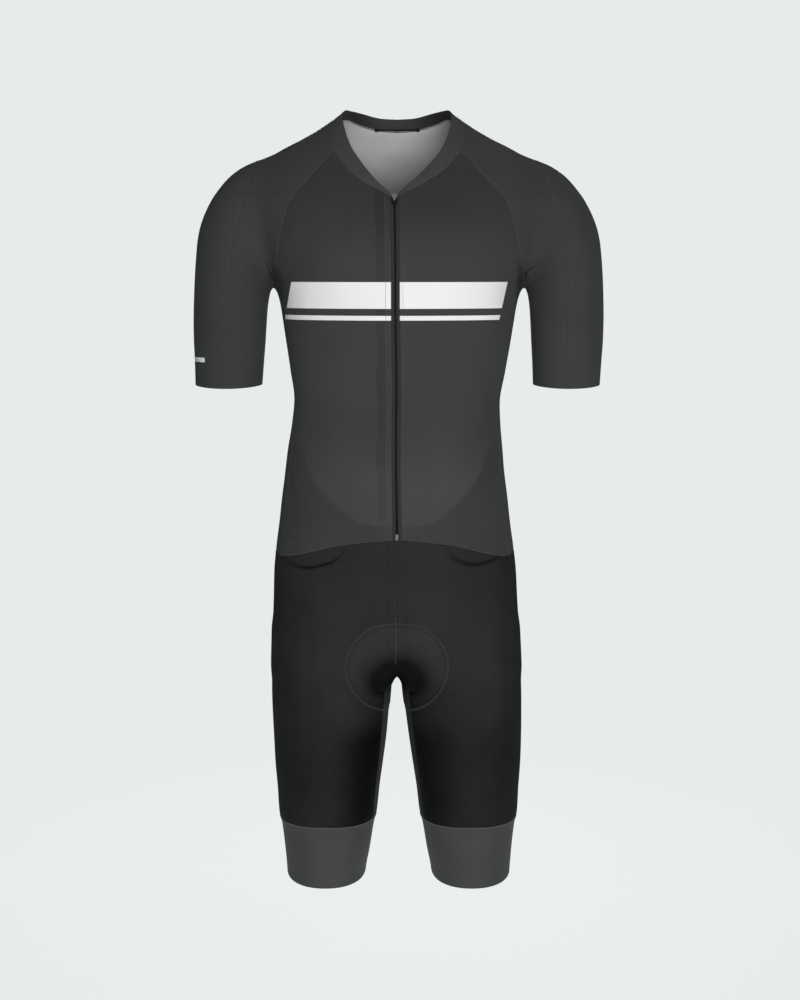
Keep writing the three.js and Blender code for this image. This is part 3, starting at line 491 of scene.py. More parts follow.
# Creases: three guide points, then half width and depth; a trough has a negative depth
CREASE_ROWS = (
    ("start", "middle", "end", "half_width", "depth"),
    # Armpit, wearer's left
    ((157, -50, -188), (158, -46, -205), (160, -40, -222), 3.6, -2.6),
    ((165, -47, -196), (166, -42, -212), (166, -34, -230), 3.4, -2.4),
    ((184, -50, -200), (177, -46, -208), (170, -36, -222), 3.8, -2.2),
    ((190, -48, -216), (178, -40, -224), (171, -24, -234), 3.4, -1.6),
    # Armpit, wearer's right
    ((-182, -46, -190), (-175, -44, -206), (-168, -36, -224), 3.6, -1.8),
    ((-190, -46, -206), (-178, -40, -216), (-169, -28, -229), 3.4, -1.6),
    ((-161, -46, -198), (-163, -42, -212), (-166, -34, -226), 3.4, -1.6),
    # Under both arms at the back
    ((158, 54, -180), (162, 46, -203), (166, 32, -226), 3.2, -1.4),
    ((170, 58, -190), (170, 47, -208), (168, 32, -226), 2.8, -1.2),
    ((188, 50, -205), (178, 42, -216), (170, 26, -230), 3.2, -1.2),
    ((-158, 56, -184), (-162, 47, -204), (-166, 33, -226), 3.0, -1.3),
    ((-176, 56, -194), (-172, 46, -210), (-168, 30, -228), 2.8, -1.1),
    # Chest, a soft fall below each side
    ((30, -117, -252), (78, -112, -262), (128, -92, -246), 24, -2.2),
    ((-30, -117, -254), (-78, -112, -264), (-126, -92, -248), 24, -2.2),
    ((40, -117, -196), (82, -112, -190), (122, -96, -184), 34, 2.0),
    ((-40, -117, -196), (-82, -112, -190), (-120, -96, -184), 34, 2.0),
    # Waist, slack folds from the sides towards the middle
    ((134, -40, -352), (112, -78, -364), (74, -96, -384), 12, -0.8),
    ((-136, -38, -360), (-110, -78, -374), (-76, -95, -388), 13, -0.9),
    ((136, -34, -398), (116, -70, -404), (84, -92, -408), 9, -0.6),
    ((-136, -34, -402), (-118, -68, -412), (-86, -90, -420), 10, -0.6),
    ((138, 30, -352), (108, 70, -366), (60, 94, -384), 12, -1.1),
    ((-138, 30, -360), (-104, 72, -374), (-52, 96, -388), 13, -1.1),
    ((134, 34, -392), (100, 74, -404), (50, 92, -410), 10, -0.9),
    ((-134, 34, -398), (-98, 74, -410), (-44, 93, -418), 10, -0.9),
    # Seat, under each cheek
    ((150, 62, -738), (104, 106, -752), (40, 92, -744), 10, -2.2),
    ((-150, 62, -734), (-104, 106, -750), (-42, 92, -745), 10, -2.3),
    ((146, 70, -772), (108, 98, -784), (60, 84, -780), 8, -1.1),
    ((-144, 70, -768), (-106, 98, -782), (-58, 84, -780), 8, -1.0),
    # Groin, drawn towards the crotch
    ((96, -96, -716), (56, -92, -735), (20, -70, -752), 9, -1.5),
    ((-98, -96, -714), (-58, -92, -736), (-20, -70, -753), 9, -1.6),
    ((82, -97, -752), (54, -84, -764), (26, -56, -778), 6, -0.8),
    ((-80, -97, -750), (-54, -84, -765), (-26, -56, -780), 6, -0.8),
    # Thighs, long shallow folds down the front
    ((118, -92, -640), (120, -92, -760), (118, -78, -900), 8, -0.8),
    ((-116, -92, -636), (-120, -92, -764), (-116, -78, -892), 8, -0.9),
    ((-92, -96, -700), (-94, -92, -800), (-95, -80, -918), 10, 0.8),
    ((140, -76, -700), (138, -70, -810), (134, -60, -930), 7, 0.7),
    ((60, -92, -800), (72, -84, -870), (80, -74, -948), 9, 0.7),
    # Backs of the thighs
    ((70, 96, -806), (92, 94, -838), (120, 80, -862), 9, -0.9),
    ((-66, 96, -800), (-92, 94, -834), (-122, 80, -856), 9, -1.0),
    ((128, 70, -880), (96, 84, -904), (64, 70, -926), 8, -0.8),
    ((-130, 68, -884), (-98, 84, -906), (-66, 70, -924), 8, -0.8),
    # Inside the elbow's bend of each sleeve, and down its outside
    ((190, -38, -268), (206, -50, -280), (226, -52, -290), 8, -0.8),
    ((-190, -38, -262), (-206, -50, -276), (-228, -52, -288), 8, -0.8),
    ((190, -34, -318), (208, -46, -326), (232, -46, -330), 8, -0.6),
    ((-190, -34, -322), (-208, -46, -332), (-234, -46, -336), 8, -0.6),
    ((190, 40, -272), (208, 52, -286), (230, 52, -296), 9, -1.0),
    ((-190, 40, -276), (-208, 52, -290), (-230, 52, -300), 9, -1.0),
    ((262, -24, -180), (268, -22, -230), (270, -20, -290), 10, 0.9),
    ((-262, -24, -176), (-268, -22, -228), (-270, -20, -292), 10, 0.9),
    # Back, a hollow along the spine and two slack folds
    ((0, 108, -100), (0, 114, -240), (0, 96, -400), 20, -3.0),
    ((30, 112, -300), (70, 98, -322), (118, 62, -330), 14, -1.0),
    ((-30, 112, -306), (-70, 98, -328), (-116, 62, -338), 14, -1.0),
    # Cuffs
    ((150, -24, -990), (151, -20, -1012), (149, -16, -1034), 3, 0.9),
    ((-60, -58, -972), (-86, -70, -976), (-118, -64, -972), 5, -0.7),
    ((62, -58, -971), (92, -71, -975), (122, -62, -971), 5, -0.6),
)

# Short curved seams in the shorts front, just under the jersey's hem
UNDER_HEM_SEAM_LEFT = (
    (62, -100, -571),
    (68, -100, -577),
    (82, -97, -588),
    (98, -92, -594),
    (114, -84, -595),
    (132, -72, -591),
    (148, -56, -584),
)
UNDER_HEM_SEAM_RIGHT = (
    (-66, -100, -571),
    (-74, -99, -582),
    (-84, -96, -590),
    (-100, -92, -596),
    (-118, -82, -600),
    (-134, -70, -598),
    (-150, -54, -594),
)
UNDER_HEM_SEAM_HALF_WIDTH = 2.0
UNDER_HEM_SEAM_DEPTH = -1.2
UNDER_HEM_SEAM_POINTS = 60

# Half of the seat pad's outline, from the front's middle between the legs to the back's middle
PAD_OUTLINE = (
    (0, -104, -671),
    (30, -103, -676),
    (52, -101, -692),
    (65, -99, -714),
    (67, -98, -738),
    (58, -92, -764),
    (39, -76, -787),
    (25, -40, -800),
    (20, 0, -804),
    (26, 44, -800),
    (50, 86, -784),
    (76, 104, -750),
    (84, 114, -705),
    (76, 124, -650),
    (46, 130, -622),
    (0, 132, -614),
)
PAD_POINTS = 90
PAD_FINE_POINTS = 200
PAD_FRONT_Y = -40
PAD_BACK_Y = 44
PAD_LOW_Z = -815
PAD_HIGH_Z = -600
PAD_REACH_X = 95
PAD_RAISE = 1.3
PAD_EDGE = 7
PAD_TAPE_TOP_Z = -662
PAD_TAPE_BOTTOM_Z = -728

# Sewing: how far rows lie beside, above and under the lines that they follow, in millimetres
FINE_ROW = {"pitch": 1.2, "length": 1.15}
RAGLAN_OFFSET = 1.4
SLEEVE_OFFSET = 1.3
FLAT_SEAM_OFFSET = 1.5
WAIST_OFFSET = 2.0
FRONT_CENTRE_OFFSET = -2.4
BACK_CENTRE_OFFSET = 1.6
UNDER_HEM_OFFSET = 1.2
PAD_ROW_OFFSET = 1.1
PAD_MARK_OFFSET = 1.7
HEM_STITCH_RISE = 17.0
HEM_EDGE_RISE = 0.9
HEM_EDGE_FROM_X = 96
ZIP_STITCH_START_Z = FRONT_HEM_Z + 2
OVERLOCK_RISE = 2.0
OVERLOCK_SINK = 0.7

# Slight unevenness all over the cloth, as waves: each length is divided by 2 pi, and each start is in radians
SLACK_HEIGHT = 0.22
SLACK_ACROSS = 31
SLACK_ACROSS_START = 1.3
SLACK_UP = 47
SLACK_UP_START = 0.4
SLACK_SIDE_SHARE = 0.6
SLACK_SIDE_Y = 23
SLACK_SIDE_Z = 39

# Knits and threads: colours as linear greys, stitch pitches and depth in metres
KNITS = (
    ("key", "name", "dark", "light", "across", "along", "roughness", "depth", "sheen", "gloss"),
    ("jersey", "jersey_knit", 0.018, 0.047, 0.0011, 0.0009, 0.82, 0.00022, 0.03, 0.1),
    ("sleeve", "sleeve_knit", 0.018, 0.042, 0.0011, 0.0009, 0.82, 0.00022, 0.03, 0.1),
    ("shorts", "shorts_knit", 0.002, 0.029, 0.0008, 0.0007, 0.6, 0.00014, 0.0, 0.05),
    ("inner", "inner_thigh_knit", 0.012, 0.034, 0.0010, 0.0008, 0.8, 0.0002, 0.02, 0.1),
    ("band", "band_knit", 0.018, 0.042, 0.0013, 0.0008, 0.55, 0.00018, 0.02, 0.22),
    ("reverse", "reverse_knit", 0.16, 0.50, 0.0011, 0.0009, 0.85, 0.0002, 0.02, 0.1),
    ("shorts_reverse", "shorts_reverse_knit", 0.003, 0.05, 0.0008, 0.0007, 0.85, 0.0002, 0.05, 0.1),
    ("guard", "guard_knit", 0.012, 0.028, 0.0011, 0.0009, 0.8, 0.0002, 0.02, 0.1),
)
THREADS = (
    ("key", "name", "dark", "light"),
    ("thread", "seam_thread", 0.035, 0.085),
    ("binding", "binding_thread", 0.06, 0.11),
    ("dark_thread", "dark_thread", 0.006, 0.014),
    ("pad_thread", "pad_thread", 0.03, 0.06),
    ("light_thread", "overlock_thread", 0.18, 0.50),
)
KNIT_TINT = -0.02
KNIT_SLANT = 1.4
MOTTLE_SHARE = 0.5
SPECKLE_SHARE = 0.35
STITCH_SHARE = 0.1
# Each piece is a little paler close to its edges
PALER_EDGE_REACH = 0.0016
PALER_EDGE_SHARE = 0.08
PALER_EDGE_FACTOR = 1.5
# Armpit folds: how strongly their painted shade darkens the knit, towards which grey, and their bump
FOLD_SHADE = 0.9
FOLD_SHADE_GREY = 0.002
FOLD_DEPTH = 0.002
FOLD_START_Y = 0.028
FOLD_END_Y = 0.008

# Where the cloth looks lighter or darker, and by how much, much of it painted shade; places in millimetres
# Painted shade in the hollow under each arm
ARMPIT_PAINTED_SHADE = 1.6
ARMPIT_DARK_HALF_WIDTH = 8
ARMPIT_DARK_HALF_HEIGHT = 16
COLLAR_INSIDE_DARKER = 0.5
BELLY_LIGHTER = 0.22
BELLY_LIGHT_Z = (-400, -500)
UNDERLAP_DARKER = 0.08
UNDERLAP_EDGE_BLUR = 3
GUARD_DARKER = 0.2
# Painted shade on the upper chest
CHEST_PAINTED_SHADE = 0.3
CHEST_SHADE_Z = (-210, -120)
# Painted shade where the legs meet
CROTCH_PAINTED_SHADE = 1.6
CROTCH_DARK_HALF_WIDTH = 36
CROTCH_DARK_HALF_HEIGHT = 30
PAD_LIGHTER = 0.2
# Painted shade down the legs
LEG_PAINTED_SHADE = 0.2
LEG_SHADE_Z = (-700, -880)
# Painted shade between the thighs, stronger on the wearer's right, away from the key light
INNER_LEG_RIGHT_SHADE = 0.4
INNER_LEG_LEFT_SHADE = 0.2
INNER_LEG_SHADE_X = (100, 40)
INNER_LEG_SHADE_Z = (-790, -850)
# Painted shade in the grooves under the jersey's hem
UNDER_HEM_SEAM_SHADE = 0.5
# The reverse is lighter all over, with painted shade further down inside the back
REVERSE_LIGHTER = 0.16
REVERSE_PAINTED_SHADE = 0.52
REVERSE_SHADE_Z = (-30, -130)

# Plain printed bands, in metres: each pair is a lower and an upper bound
PRINT_GREY = 0.6
CHEST_FRONT_Y = -0.03
CHEST_BAND_SLANT = -0.22
CHEST_BAND_X = (-0.088, 0.194)
WIDE_BAND_Z = (-0.259, -0.225)
NARROW_BAND_Z = (-0.274, -0.268)
SLEEVE_BAR_OUTSIDE_X = -0.245
SLEEVE_BAR_Y = (-0.040, 0.012)
SLEEVE_BAR_Z = (-0.331, -0.325)

# Camera, lights and surroundings, in metres and watts
CAMERA_PLACE = (0.0041, -2.5, -0.21)
CAMERA_TARGET = (0.0041, 0.0, -0.52)
CAMERA_LENS = 66.68
CAMERA_SENSOR_WIDTH = 36.0
LIGHT_TARGET = (0.0, 0.0, -0.5)
LIGHTS = (
    ("name", "place", "size", "power"),
    ("front_key", (0.5, -2.6, -0.15), 1.4, 74),
    ("front_fill", (-0.6, -2.6, -0.15), 1.4, 18),
    ("back_fill", (0.0, 2.5, 0.4), 1.1, 80),
    ("top_soft", (0.0, 0.0, 1.6), 1.2, 3),
)
BACKDROP_COLOR = (0.799, 0.838, 0.823, 1.0)
ROOM_LIGHT_COLOR = (0.82, 0.84, 0.84, 1.0)
ROOM_LIGHT_STRENGTH = 0.17
FLOOR_COLOR = (0.12, 0.126, 0.124, 1.0)
FLOOR_GLOW = (0.66, 0.70, 0.685, 1.0)
FLOOR_Z = -1.45
FLOOR_RADIUS = 2.6
FLOOR_SIDES = 64
FLOOR_FADE_START = 0.8
FLOOR_FADE_END = 2.4

# How finely the cloth's surface is searched for; lengths in millimetres
SLOPE_STEP = 0.4
RAY_STRIDE = 3.0
RAY_STEPS = 120
RAY_HALVINGS = 18
SECTION_HALVINGS = 34
CURVE_STEPS = 40

# A crease's steps between two guides, its reach in half widths, and the power by which it fades at its ends
CREASE_STEPS = 6
CREASE_REACH = 2.6
CREASE_FADE = 0.8


class Table:
    """A table with a header row: each column after the first becomes a smooth curve with no overshoot."""

    def __init__(self, rows):
        names, *body = rows
        body = sorted(body, key=lambda row: row[0])
        self.places = np.array([row[0] for row in body], dtype=float)
        self.columns = {}
        for index, name in enumerate(names[1:], start=1):
            values = np.array([row[index] for row in body], dtype=float)
            self.columns[name] = (values, self.tangents(values))

    def tangents(self, values):
        slopes = np.diff(values) / np.diff(self.places)
        before, after = slopes[:-1], slopes[1:]
        total = np.where(before + after == 0, 1, before + after)
        middle = np.where(before * after <= 0, 0, 2 * before * after / total)
        return np.concatenate([slopes[:1], middle, slopes[-1:]])

    def __call__(self, name, place):
        values, tangents = self.columns[name]
        place = np.clip(place, self.places[0], self.places[-1])
        index = np.clip(np.searchsorted(self.places, place) - 1, 0, len(self.places) - 2)
        span = self.places[index + 1] - self.places[index]
        t = (place - self.places[index]) / span
        hold = 1 - t
        start = (1 + 2 * t) * hold**2 * values[index] + t * hold**2 * span * tangents[index]
        end = t**2 * (3 - 2 * t) * values[index + 1] - t**2 * hold * span * tangents[index + 1]
        return start + end


TRUNK = Table(TRUNK_ROWS)
ARM = Table(ARM_ROWS)
LEG = Table(LEG_ROWS)
LEG_AXIS = Table(LEG_AXIS_ROWS)
SLEEVE_AXIS = Table(SLEEVE_AXIS_ROWS)
LEAN = Table(LEAN_ROWS)
SWAY = Table(SWAY_ROWS)


def soft_min(a, b, blend):
    share = np.maximum(blend - np.abs(a - b), 0) / blend
    return np.minimum(a, b) - share**2 * blend / 4


def section_distance(part, x, y, z, dome):
    """Signed distance, roughly, to one part; dome is how far a point is into its rounded end."""
    half_width = part("half_width", z)
    front = part("front", z)
    back = part("back", z)
    power = part("power", z)
    across = np.abs(x) / half_width
    through = np.abs(y) / np.where(y < 0, front, back)
    total = across**power + through**power + dome**power
    return (total ** (1 / power) - 1) * np.minimum(half_width, (front + back) / 2)


def figure(points):
    """The figure that the suit is cut for: negative inside."""
    x, y, z = points[..., 0], points[..., 1], points[..., 2]
    side = np.abs(x)
    shoulder_dome = np.maximum(0, z - SHOULDER_DOME_Z) / SHOULDER_DOME_HEIGHT
    leg_dome = np.maximum(0, z - LEG_DOME_Z) / LEG_DOME_HEIGHT
    arm_section = section_distance(ARM, side - ARM("centre", z), y, z, shoulder_dome)
    arm = np.maximum(arm_section, ARM_END_Z - z)
    leg_centre = LEG("centre", z)
    near_leg = section_distance(LEG, side - leg_centre, y, z, leg_dome)
    far_leg = section_distance(LEG, side + leg_centre, y, z, leg_dome)
    trunk_section = section_distance(TRUNK, side, y, z, 0)
    crotch_floor = CROTCH_Z - CROTCH_CURVE * np.minimum(side, CROTCH_CURVE_HALF_WIDTH) ** 2
    trunk = -soft_min(-trunk_section, z - crotch_floor, CROTCH_ROUNDING)
    legs = soft_min(near_leg, far_leg, CROTCH_BLEND)
    return soft_min(soft_min(trunk, arm, ARM_BLEND), legs, LEG_BLEND)


def gradient(points):
    slopes = []
    for axis in range(3):
        shift = np.zeros(3)
        shift[axis] = SLOPE_STEP
        slopes.append((figure(points + shift) - figure(points - shift)) / (2 * SLOPE_STEP))
    return np.stack(slopes, axis=-1)


def unit(vectors):
    return vectors / np.maximum(np.linalg.norm(vectors, axis=-1, keepdims=True), 1e-9)


def lay_on_figure(points, passes=8):
    """Moves points to the figure's surface, straight along its slope."""
    laid = np.array(points, dtype=float)
    for _ in range(passes):
        slope = gradient(laid)
        laid -= slope * (figure(laid) / np.sum(slope**2, axis=-1))[..., None]
    return laid


def cast_rays(origins, directions):
    """First way out of the figure along each ray."""
    reaches = np.arange(1, RAY_STEPS) * RAY_STRIDE
    along = origins[:, None, :] + directions[:, None, :] * reaches[None, :, None]
    first = np.argmax(figure(along) > 0, axis=1)
    far = reaches[first]
    near = far - RAY_STRIDE
    for _ in range(RAY_HALVINGS):
        middle = (near + far) / 2
        outside = figure(origins + directions * middle[:, None]) > 0
        far = np.where(outside, middle, far)
        near = np.where(outside, near, middle)
    return origins + directions * near[:, None]


def points_of(x, y, z):
    return np.stack(np.broadcast_arrays(x, y, z), axis=-1).astype(float)


class RoundChart:
    """An angle about an upright axis inside the figure, a height, and the reach out to the skin."""

    def __init__(self, axis_x):
        self.axis_x = axis_x

    def origin(self, height):
        return points_of(self.axis_x(height), 0, height)

    def direction(self, angle, height):
        return points_of(np.sin(angle), -np.cos(angle), 0 * height)

    def to_flat(self, points):
        across = points[..., 0] - self.axis_x(points[..., 2])
        angle = np.arctan2(across, -points[..., 1])
        return np.stack([angle, points[..., 2], np.hypot(across, points[..., 1])], axis=-1)


class SleeveChart:
    """An angle about the arm's bent axis, a section's number along it, and the reach out to the skin."""

    def origin(self, row):
        return points_of(SLEEVE_AXIS("x", row), 0, SLEEVE_AXIS("z", row))

    def direction(self, angle, row):
        tilt = np.radians(SLEEVE_AXIS("tilt", row))
        return points_of(np.cos(angle) * np.cos(tilt), np.sin(angle), np.cos(angle) * np.sin(tilt))

    def to_flat(self, points):
        x, y, z = points[..., 0], points[..., 1], points[..., 2]
        low = np.full(x.shape, SLEEVE_AXIS.places[0])
        high = np.full(x.shape, SLEEVE_AXIS.places[-1])
        for _ in range(SECTION_HALVINGS):
            row = (low + high) / 2
            tilt = np.radians(SLEEVE_AXIS("tilt", row))
            above = (z - SLEEVE_AXIS("z", row)) * np.cos(tilt) - (x - SLEEVE_AXIS("x", row)) * np.sin(tilt)
            high = np.where(above > 0, row, high)
            low = np.where(above > 0, low, row)
        tilt = np.radians(SLEEVE_AXIS("tilt", low))
        along = (x - SLEEVE_AXIS("x", low)) * np.cos(tilt) + (z - SLEEVE_AXIS("z", low)) * np.sin(tilt)
        return np.stack([np.arctan2(y, along), low, np.hypot(y, along)], axis=-1)


TRUNK_CHART = RoundChart(lambda z: 0 * z)
LEG_CHART = RoundChart(lambda z: LEG_AXIS("x", z))
SLEEVE_CHART = SleeveChart()


def smooth_curve(guides, count):
    """Points evenly spaced along a smooth curve through the guides."""
    guides = np.array(guides, dtype=float)
    padded = np.vstack([2 * guides[0] - guides[1], guides, 2 * guides[-1] - guides[-2]])
    fine = []
    t = np.linspace(0, 1, CURVE_STEPS, endpoint=False)[:, None]
    for index in range(len(guides) - 1):
        p0, p1, p2, p3 = padded[index : index + 4]
        d0, d1, d2 = (max(np.linalg.norm(b - a) ** 0.5, 1e-4) for a, b in ((p0, p1), (p1, p2), (p2, p3)))
        tangent1 = ((p1 - p0) / d0 - (p2 - p0) / (d0 + d1) + (p2 - p1) / d1) * d1
        tangent2 = ((p2 - p1) / d1 - (p3 - p1) / (d1 + d2) + (p3 - p2) / d2) * d1
        square = -3 * p1 + 3 * p2 - 2 * tangent1 - tangent2
        cube = 2 * p1 - 2 * p2 + tangent1 + tangent2
        fine.append(p1 + tangent1 * t + square * t**2 + cube * t**3)
    fine = np.vstack(fine + [guides[-1:]])
    return evenly(fine, count)


def running_length(line):
    """How far each point of a line is along it."""
    return np.concatenate([[0], np.cumsum(np.linalg.norm(np.diff(line, axis=0), axis=1))])


def evenly(line, count):
    """The same line with evenly spaced points."""
    lengths = running_length(line)
    places = np.linspace(0, lengths[-1], count)
    return np.stack([np.interp(places, lengths, line[:, axis]) for axis in range(3)], axis=-1)


def seam(guides, cells):
    return lay_on_figure(smooth_curve(guides, cells + 1))


def join(*lines):
    return np.vstack([lines[0]] + [line[1:] for line in lines[1:]])


def mirrored(points):
    return points * np.array([-1.0, 1.0, 1.0])


def flatten(chart, points, start_angle):
    """Chart coordinates of an edge, whose angle never jumps a full turn."""
    flat = chart.to_flat(points)
    turn = 2 * math.pi
    previous = start_angle
    for index in range(len(flat)):
        flat[index, 0] += turn * round((previous - flat[index, 0]) / turn)
        previous = flat[index, 0]
    return flat


def fill_piece(chart, bottom, top, left, right, start_angle=0.0):
    """Fills the four edges of a piece with points on the figure, row by row from the bottom."""
    flat_bottom = flatten(chart, bottom, start_angle)
    flat_left = flatten(chart, left, flat_bottom[0, 0])
    flat_right = flatten(chart, right, flat_bottom[-1, 0])
    flat_top = flatten(chart, top, flat_left[-1, 0])
    u = np.linspace(0, 1, len(bottom))[None, :, None]
    v = np.linspace(0, 1, len(left))[:, None, None]
    low_corners = (1 - u) * flat_bottom[0] + u * flat_bottom[-1]
    high_corners = (1 - u) * flat_top[0] + u * flat_top[-1]
    across = (1 - u) * flat_left[:, None, :] + u * flat_right[:, None, :]
    flat = across + (1 - v) * (flat_bottom[None] - low_corners) + v * (flat_top[None] - high_corners)
    angle, height, reach = flat[..., 0], flat[..., 1], flat[..., 2]
    rows = lay_on_figure(chart.origin(height) + chart.direction(angle, height) * reach[..., None], 6)
    rows[0], rows[-1], rows[:, 0], rows[:, -1] = bottom, top, left, right
    return rows


def smooth_step(low, high, value):
    t = np.clip((value - low) / (high - low), 0, 1)
    return t * t * (3 - 2 * t)


def jersey_lift(points):
    """The jersey front hangs loose over the shorts, less so at the sides."""
    at_side = smooth_step(LOOSE_INNER_X, LOOSE_OUTER_X, np.abs(points[..., 0]))
    low = smooth_step(LOOSE_TOP_Z, LOOSE_BOTTOM_Z, points[..., 2])
    return LOOSE_HEM * low * (1 - LOOSE_SIDE_LOSS * at_side)


def underlap_lift(points):
    """The shorts front is drawn in where it passes under the jersey, more sharply at the sides."""
    at_side = smooth_step(UNDERLAP_INNER_X, UNDERLAP_OUTER_X, np.abs(points[..., 0]))
    depth = UNDERLAP_DEPTH * (1 - UNDERLAP_SIDE_LOSS * at_side)
    start = UNDERLAP_BOTTOM_Z + UNDERLAP_SIDE_RISE * at_side
    return -depth * smooth_step(start, UNDERLAP_TOP_Z, points[..., 2])


def no_lift(points):
    return np.zeros(points.shape[:-1])


def leaned(points):
    """Shifts finished points sideways, as the worn suit leans."""
    x, y, z = points[..., 0], points[..., 1], points[..., 2]
    near_centre = 1 - smooth_step(SWAY_INNER_X, SWAY_OUTER_X, np.abs(x))
    towards_front = smooth_step(SWAY_INNER_Y, SWAY_OUTER_Y, y)
    placed = points.copy()
    placed[..., 0] += LEAN("x", z) + SWAY("x", z) * near_centre * towards_front
    return placed


def distance_to_line(points, line):
    """Distance from each point to a polyline, and how far along it the nearest place is, from 0 to 1."""
    best = np.full(len(points), 1e9)
    share = np.zeros(len(points))
    count = len(line) - 1
    for index in range(count):
        start = line[index]
        span = line[index + 1] - start
        along = np.clip((points - start) @ span / max(span @ span, 1e-9), 0, 1)
        gap = np.linalg.norm(points - start - along[:, None] * span, axis=1)
        nearer = gap < best
        best = np.where(nearer, gap, best)
        share = np.where(nearer, (index + along) / count, share)
    return best, share


class Crease:
    """One soft trough or ridge along a curve on the cloth."""

    def __init__(self, guides, half_width, depth):
        self.line = lay_on_figure(smooth_curve(guides, CREASE_STEPS * (len(guides) - 1) + 1))
        self.half_width = half_width
        self.depth = depth
        self.centre = self.line.mean(axis=0)
        self.reach = np.linalg.norm(self.line - self.centre, axis=1).max() + CREASE_REACH * half_width

    def height(self, points):
        result = np.zeros(len(points))
        near = np.linalg.norm(points - self.centre, axis=1) < self.reach
        if near.any():
            gap, share = distance_to_line(points[near], self.line)
            fade = np.sin(np.pi * np.clip(share, 0, 1)) ** CREASE_FADE
            result[near] = self.depth * np.exp(-((gap / self.half_width) ** 2)) * fade
        return result


CREASES = [Crease(row[:3], *row[3:]) for row in CREASE_ROWS[1:]]
UNDER_HEM_SEAMS = [
    Crease(line, UNDER_HEM_SEAM_HALF_WIDTH, UNDER_HEM_SEAM_DEPTH)
    for line in (UNDER_HEM_SEAM_LEFT, UNDER_HEM_SEAM_RIGHT)
]
PAD_HALF = lay_on_figure(smooth_curve(PAD_OUTLINE, PAD_POINTS))
PAD_FINE = evenly(PAD_HALF, PAD_FINE_POINTS)


def pad_share(points):
    """How far a point is inside the seat pad's outline, from 0 outside to 1 well inside."""
    x, y, z = np.abs(points[:, 0]), points[:, 1], points[:, 2]
    share = np.zeros(len(points))
    near = (z < PAD_HIGH_Z) & (z > PAD_LOW_Z) & (x < PAD_REACH_X)
    if near.any():
        selected = points_of(x[near], y[near], z[near])
        gap, along = distance_to_line(selected, PAD_HALF)
        nearest = PAD_FINE[np.round(along * (PAD_FINE_POINTS - 1)).astype(int)]
        front = nearest[:, 1] < PAD_FRONT_Y
        back = nearest[:, 1] > PAD_BACK_Y
        within = selected[:, 0] < nearest[:, 0] + 1e-6
        inside_front = within & (selected[:, 2] < PAD_OUTLINE[0][2])
        inside_back = within & (selected[:, 2] < PAD_OUTLINE[-1][2])
        inside_middle = selected[:, 2] > nearest[:, 2]
        inside = np.where(front, inside_front, np.where(back, inside_back, inside_middle))
        share[near] = np.where(inside, smooth_step(0, PAD_EDGE, gap), 0)
    return share


def relief(points):
    """Height of creases, folds and the seat pad over the plain figure."""
    shape = points.shape[:-1]
    flat = points.reshape(-1, 3)
    height = np.zeros(len(flat))
    for crease in CREASES + UNDER_HEM_SEAMS:
        height += crease.height(flat)
    height += PAD_RAISE * pad_share(flat)
    x, y, z = flat[:, 0], flat[:, 1], flat[:, 2]
    face = np.sin(x / SLACK_ACROSS + SLACK_ACROSS_START) * np.sin(z / SLACK_UP + SLACK_UP_START)
    side = np.sin(y / SLACK_SIDE_Y + z / SLACK_SIDE_Z) * SLACK_SIDE_SHARE
    height += SLACK_HEIGHT * (face + side)
    return height.reshape(shape)


def with_edge_rows(rows):
    """Adds a row close to each edge, so that edges can roll over tightly."""
    for axis in (0, 1):
        lines = np.moveaxis(rows, axis, 0)
        first = lines[0] + (lines[1] - lines[0]) * EDGE_ROW
        last = lines[-1] + (lines[-2] - lines[-1]) * EDGE_ROW
        lines = np.concatenate([lines[:1], first[None], lines[1:-1], last[None], lines[-1:]])
        rows = np.moveaxis(lines, 0, axis)
    return rows


def arc_lengths(rows, axis):
    steps = np.linalg.norm(np.diff(rows, axis=axis), axis=-1)
    pad = [(0, 0), (0, 0)]
    pad[axis] = (1, 0)
    return np.cumsum(np.pad(steps, pad), axis=axis)


def make_mesh(name, vertices, quads):
    """A mesh in metres from vertices in millimetres and an array of four-sided faces."""
    mesh = bpy.data.meshes.new(name)
    mesh.vertices.add(len(vertices))
    mesh.vertices.foreach_set("co", (np.asarray(vertices) * MM).ravel())
    mesh.loops.add(4 * len(quads))
    mesh.loops.foreach_set("vertex_index", np.asarray(quads).ravel())
    mesh.polygons.add(len(quads))
    mesh.polygons.foreach_set("loop_start", np.arange(len(quads)) * 4)
    mesh.polygons.foreach_set("loop_total", np.full(len(quads), 4))
    mesh.update(calc_edges=True)
    mesh.validate()
    mesh.polygons.foreach_set("use_smooth", np.ones(len(mesh.polygons), dtype=bool))
    return mesh


def add_object(mesh, body, replaced=()):
    piece = bpy.data.objects.new(mesh.name, mesh)
    bpy.context.scene.collection.objects.link(piece)
    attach(piece, body)
    if replaced:
        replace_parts(piece, *replaced)
    return piece


def set_values(mesh, name, values):
    attribute = mesh.attributes.new(name, "FLOAT", "POINT")
    attribute.data.foreach_set("value", np.asarray(values, dtype=np.float32).ravel())


def set_vectors(mesh, name, values):
    attribute = mesh.attributes.new(name, "FLOAT_VECTOR", "POINT")
    attribute.data.foreach_set("vector", np.asarray(values, dtype=np.float32).ravel())


def grid_quads(rows, columns, offset=0):
    j, i = np.meshgrid(np.arange(rows - 1), np.arange(columns - 1), indexing="ij")
    low = (j * columns + i).ravel() + offset
    return np.stack([low, low + 1, low + columns + 1, low + columns], axis=-1)


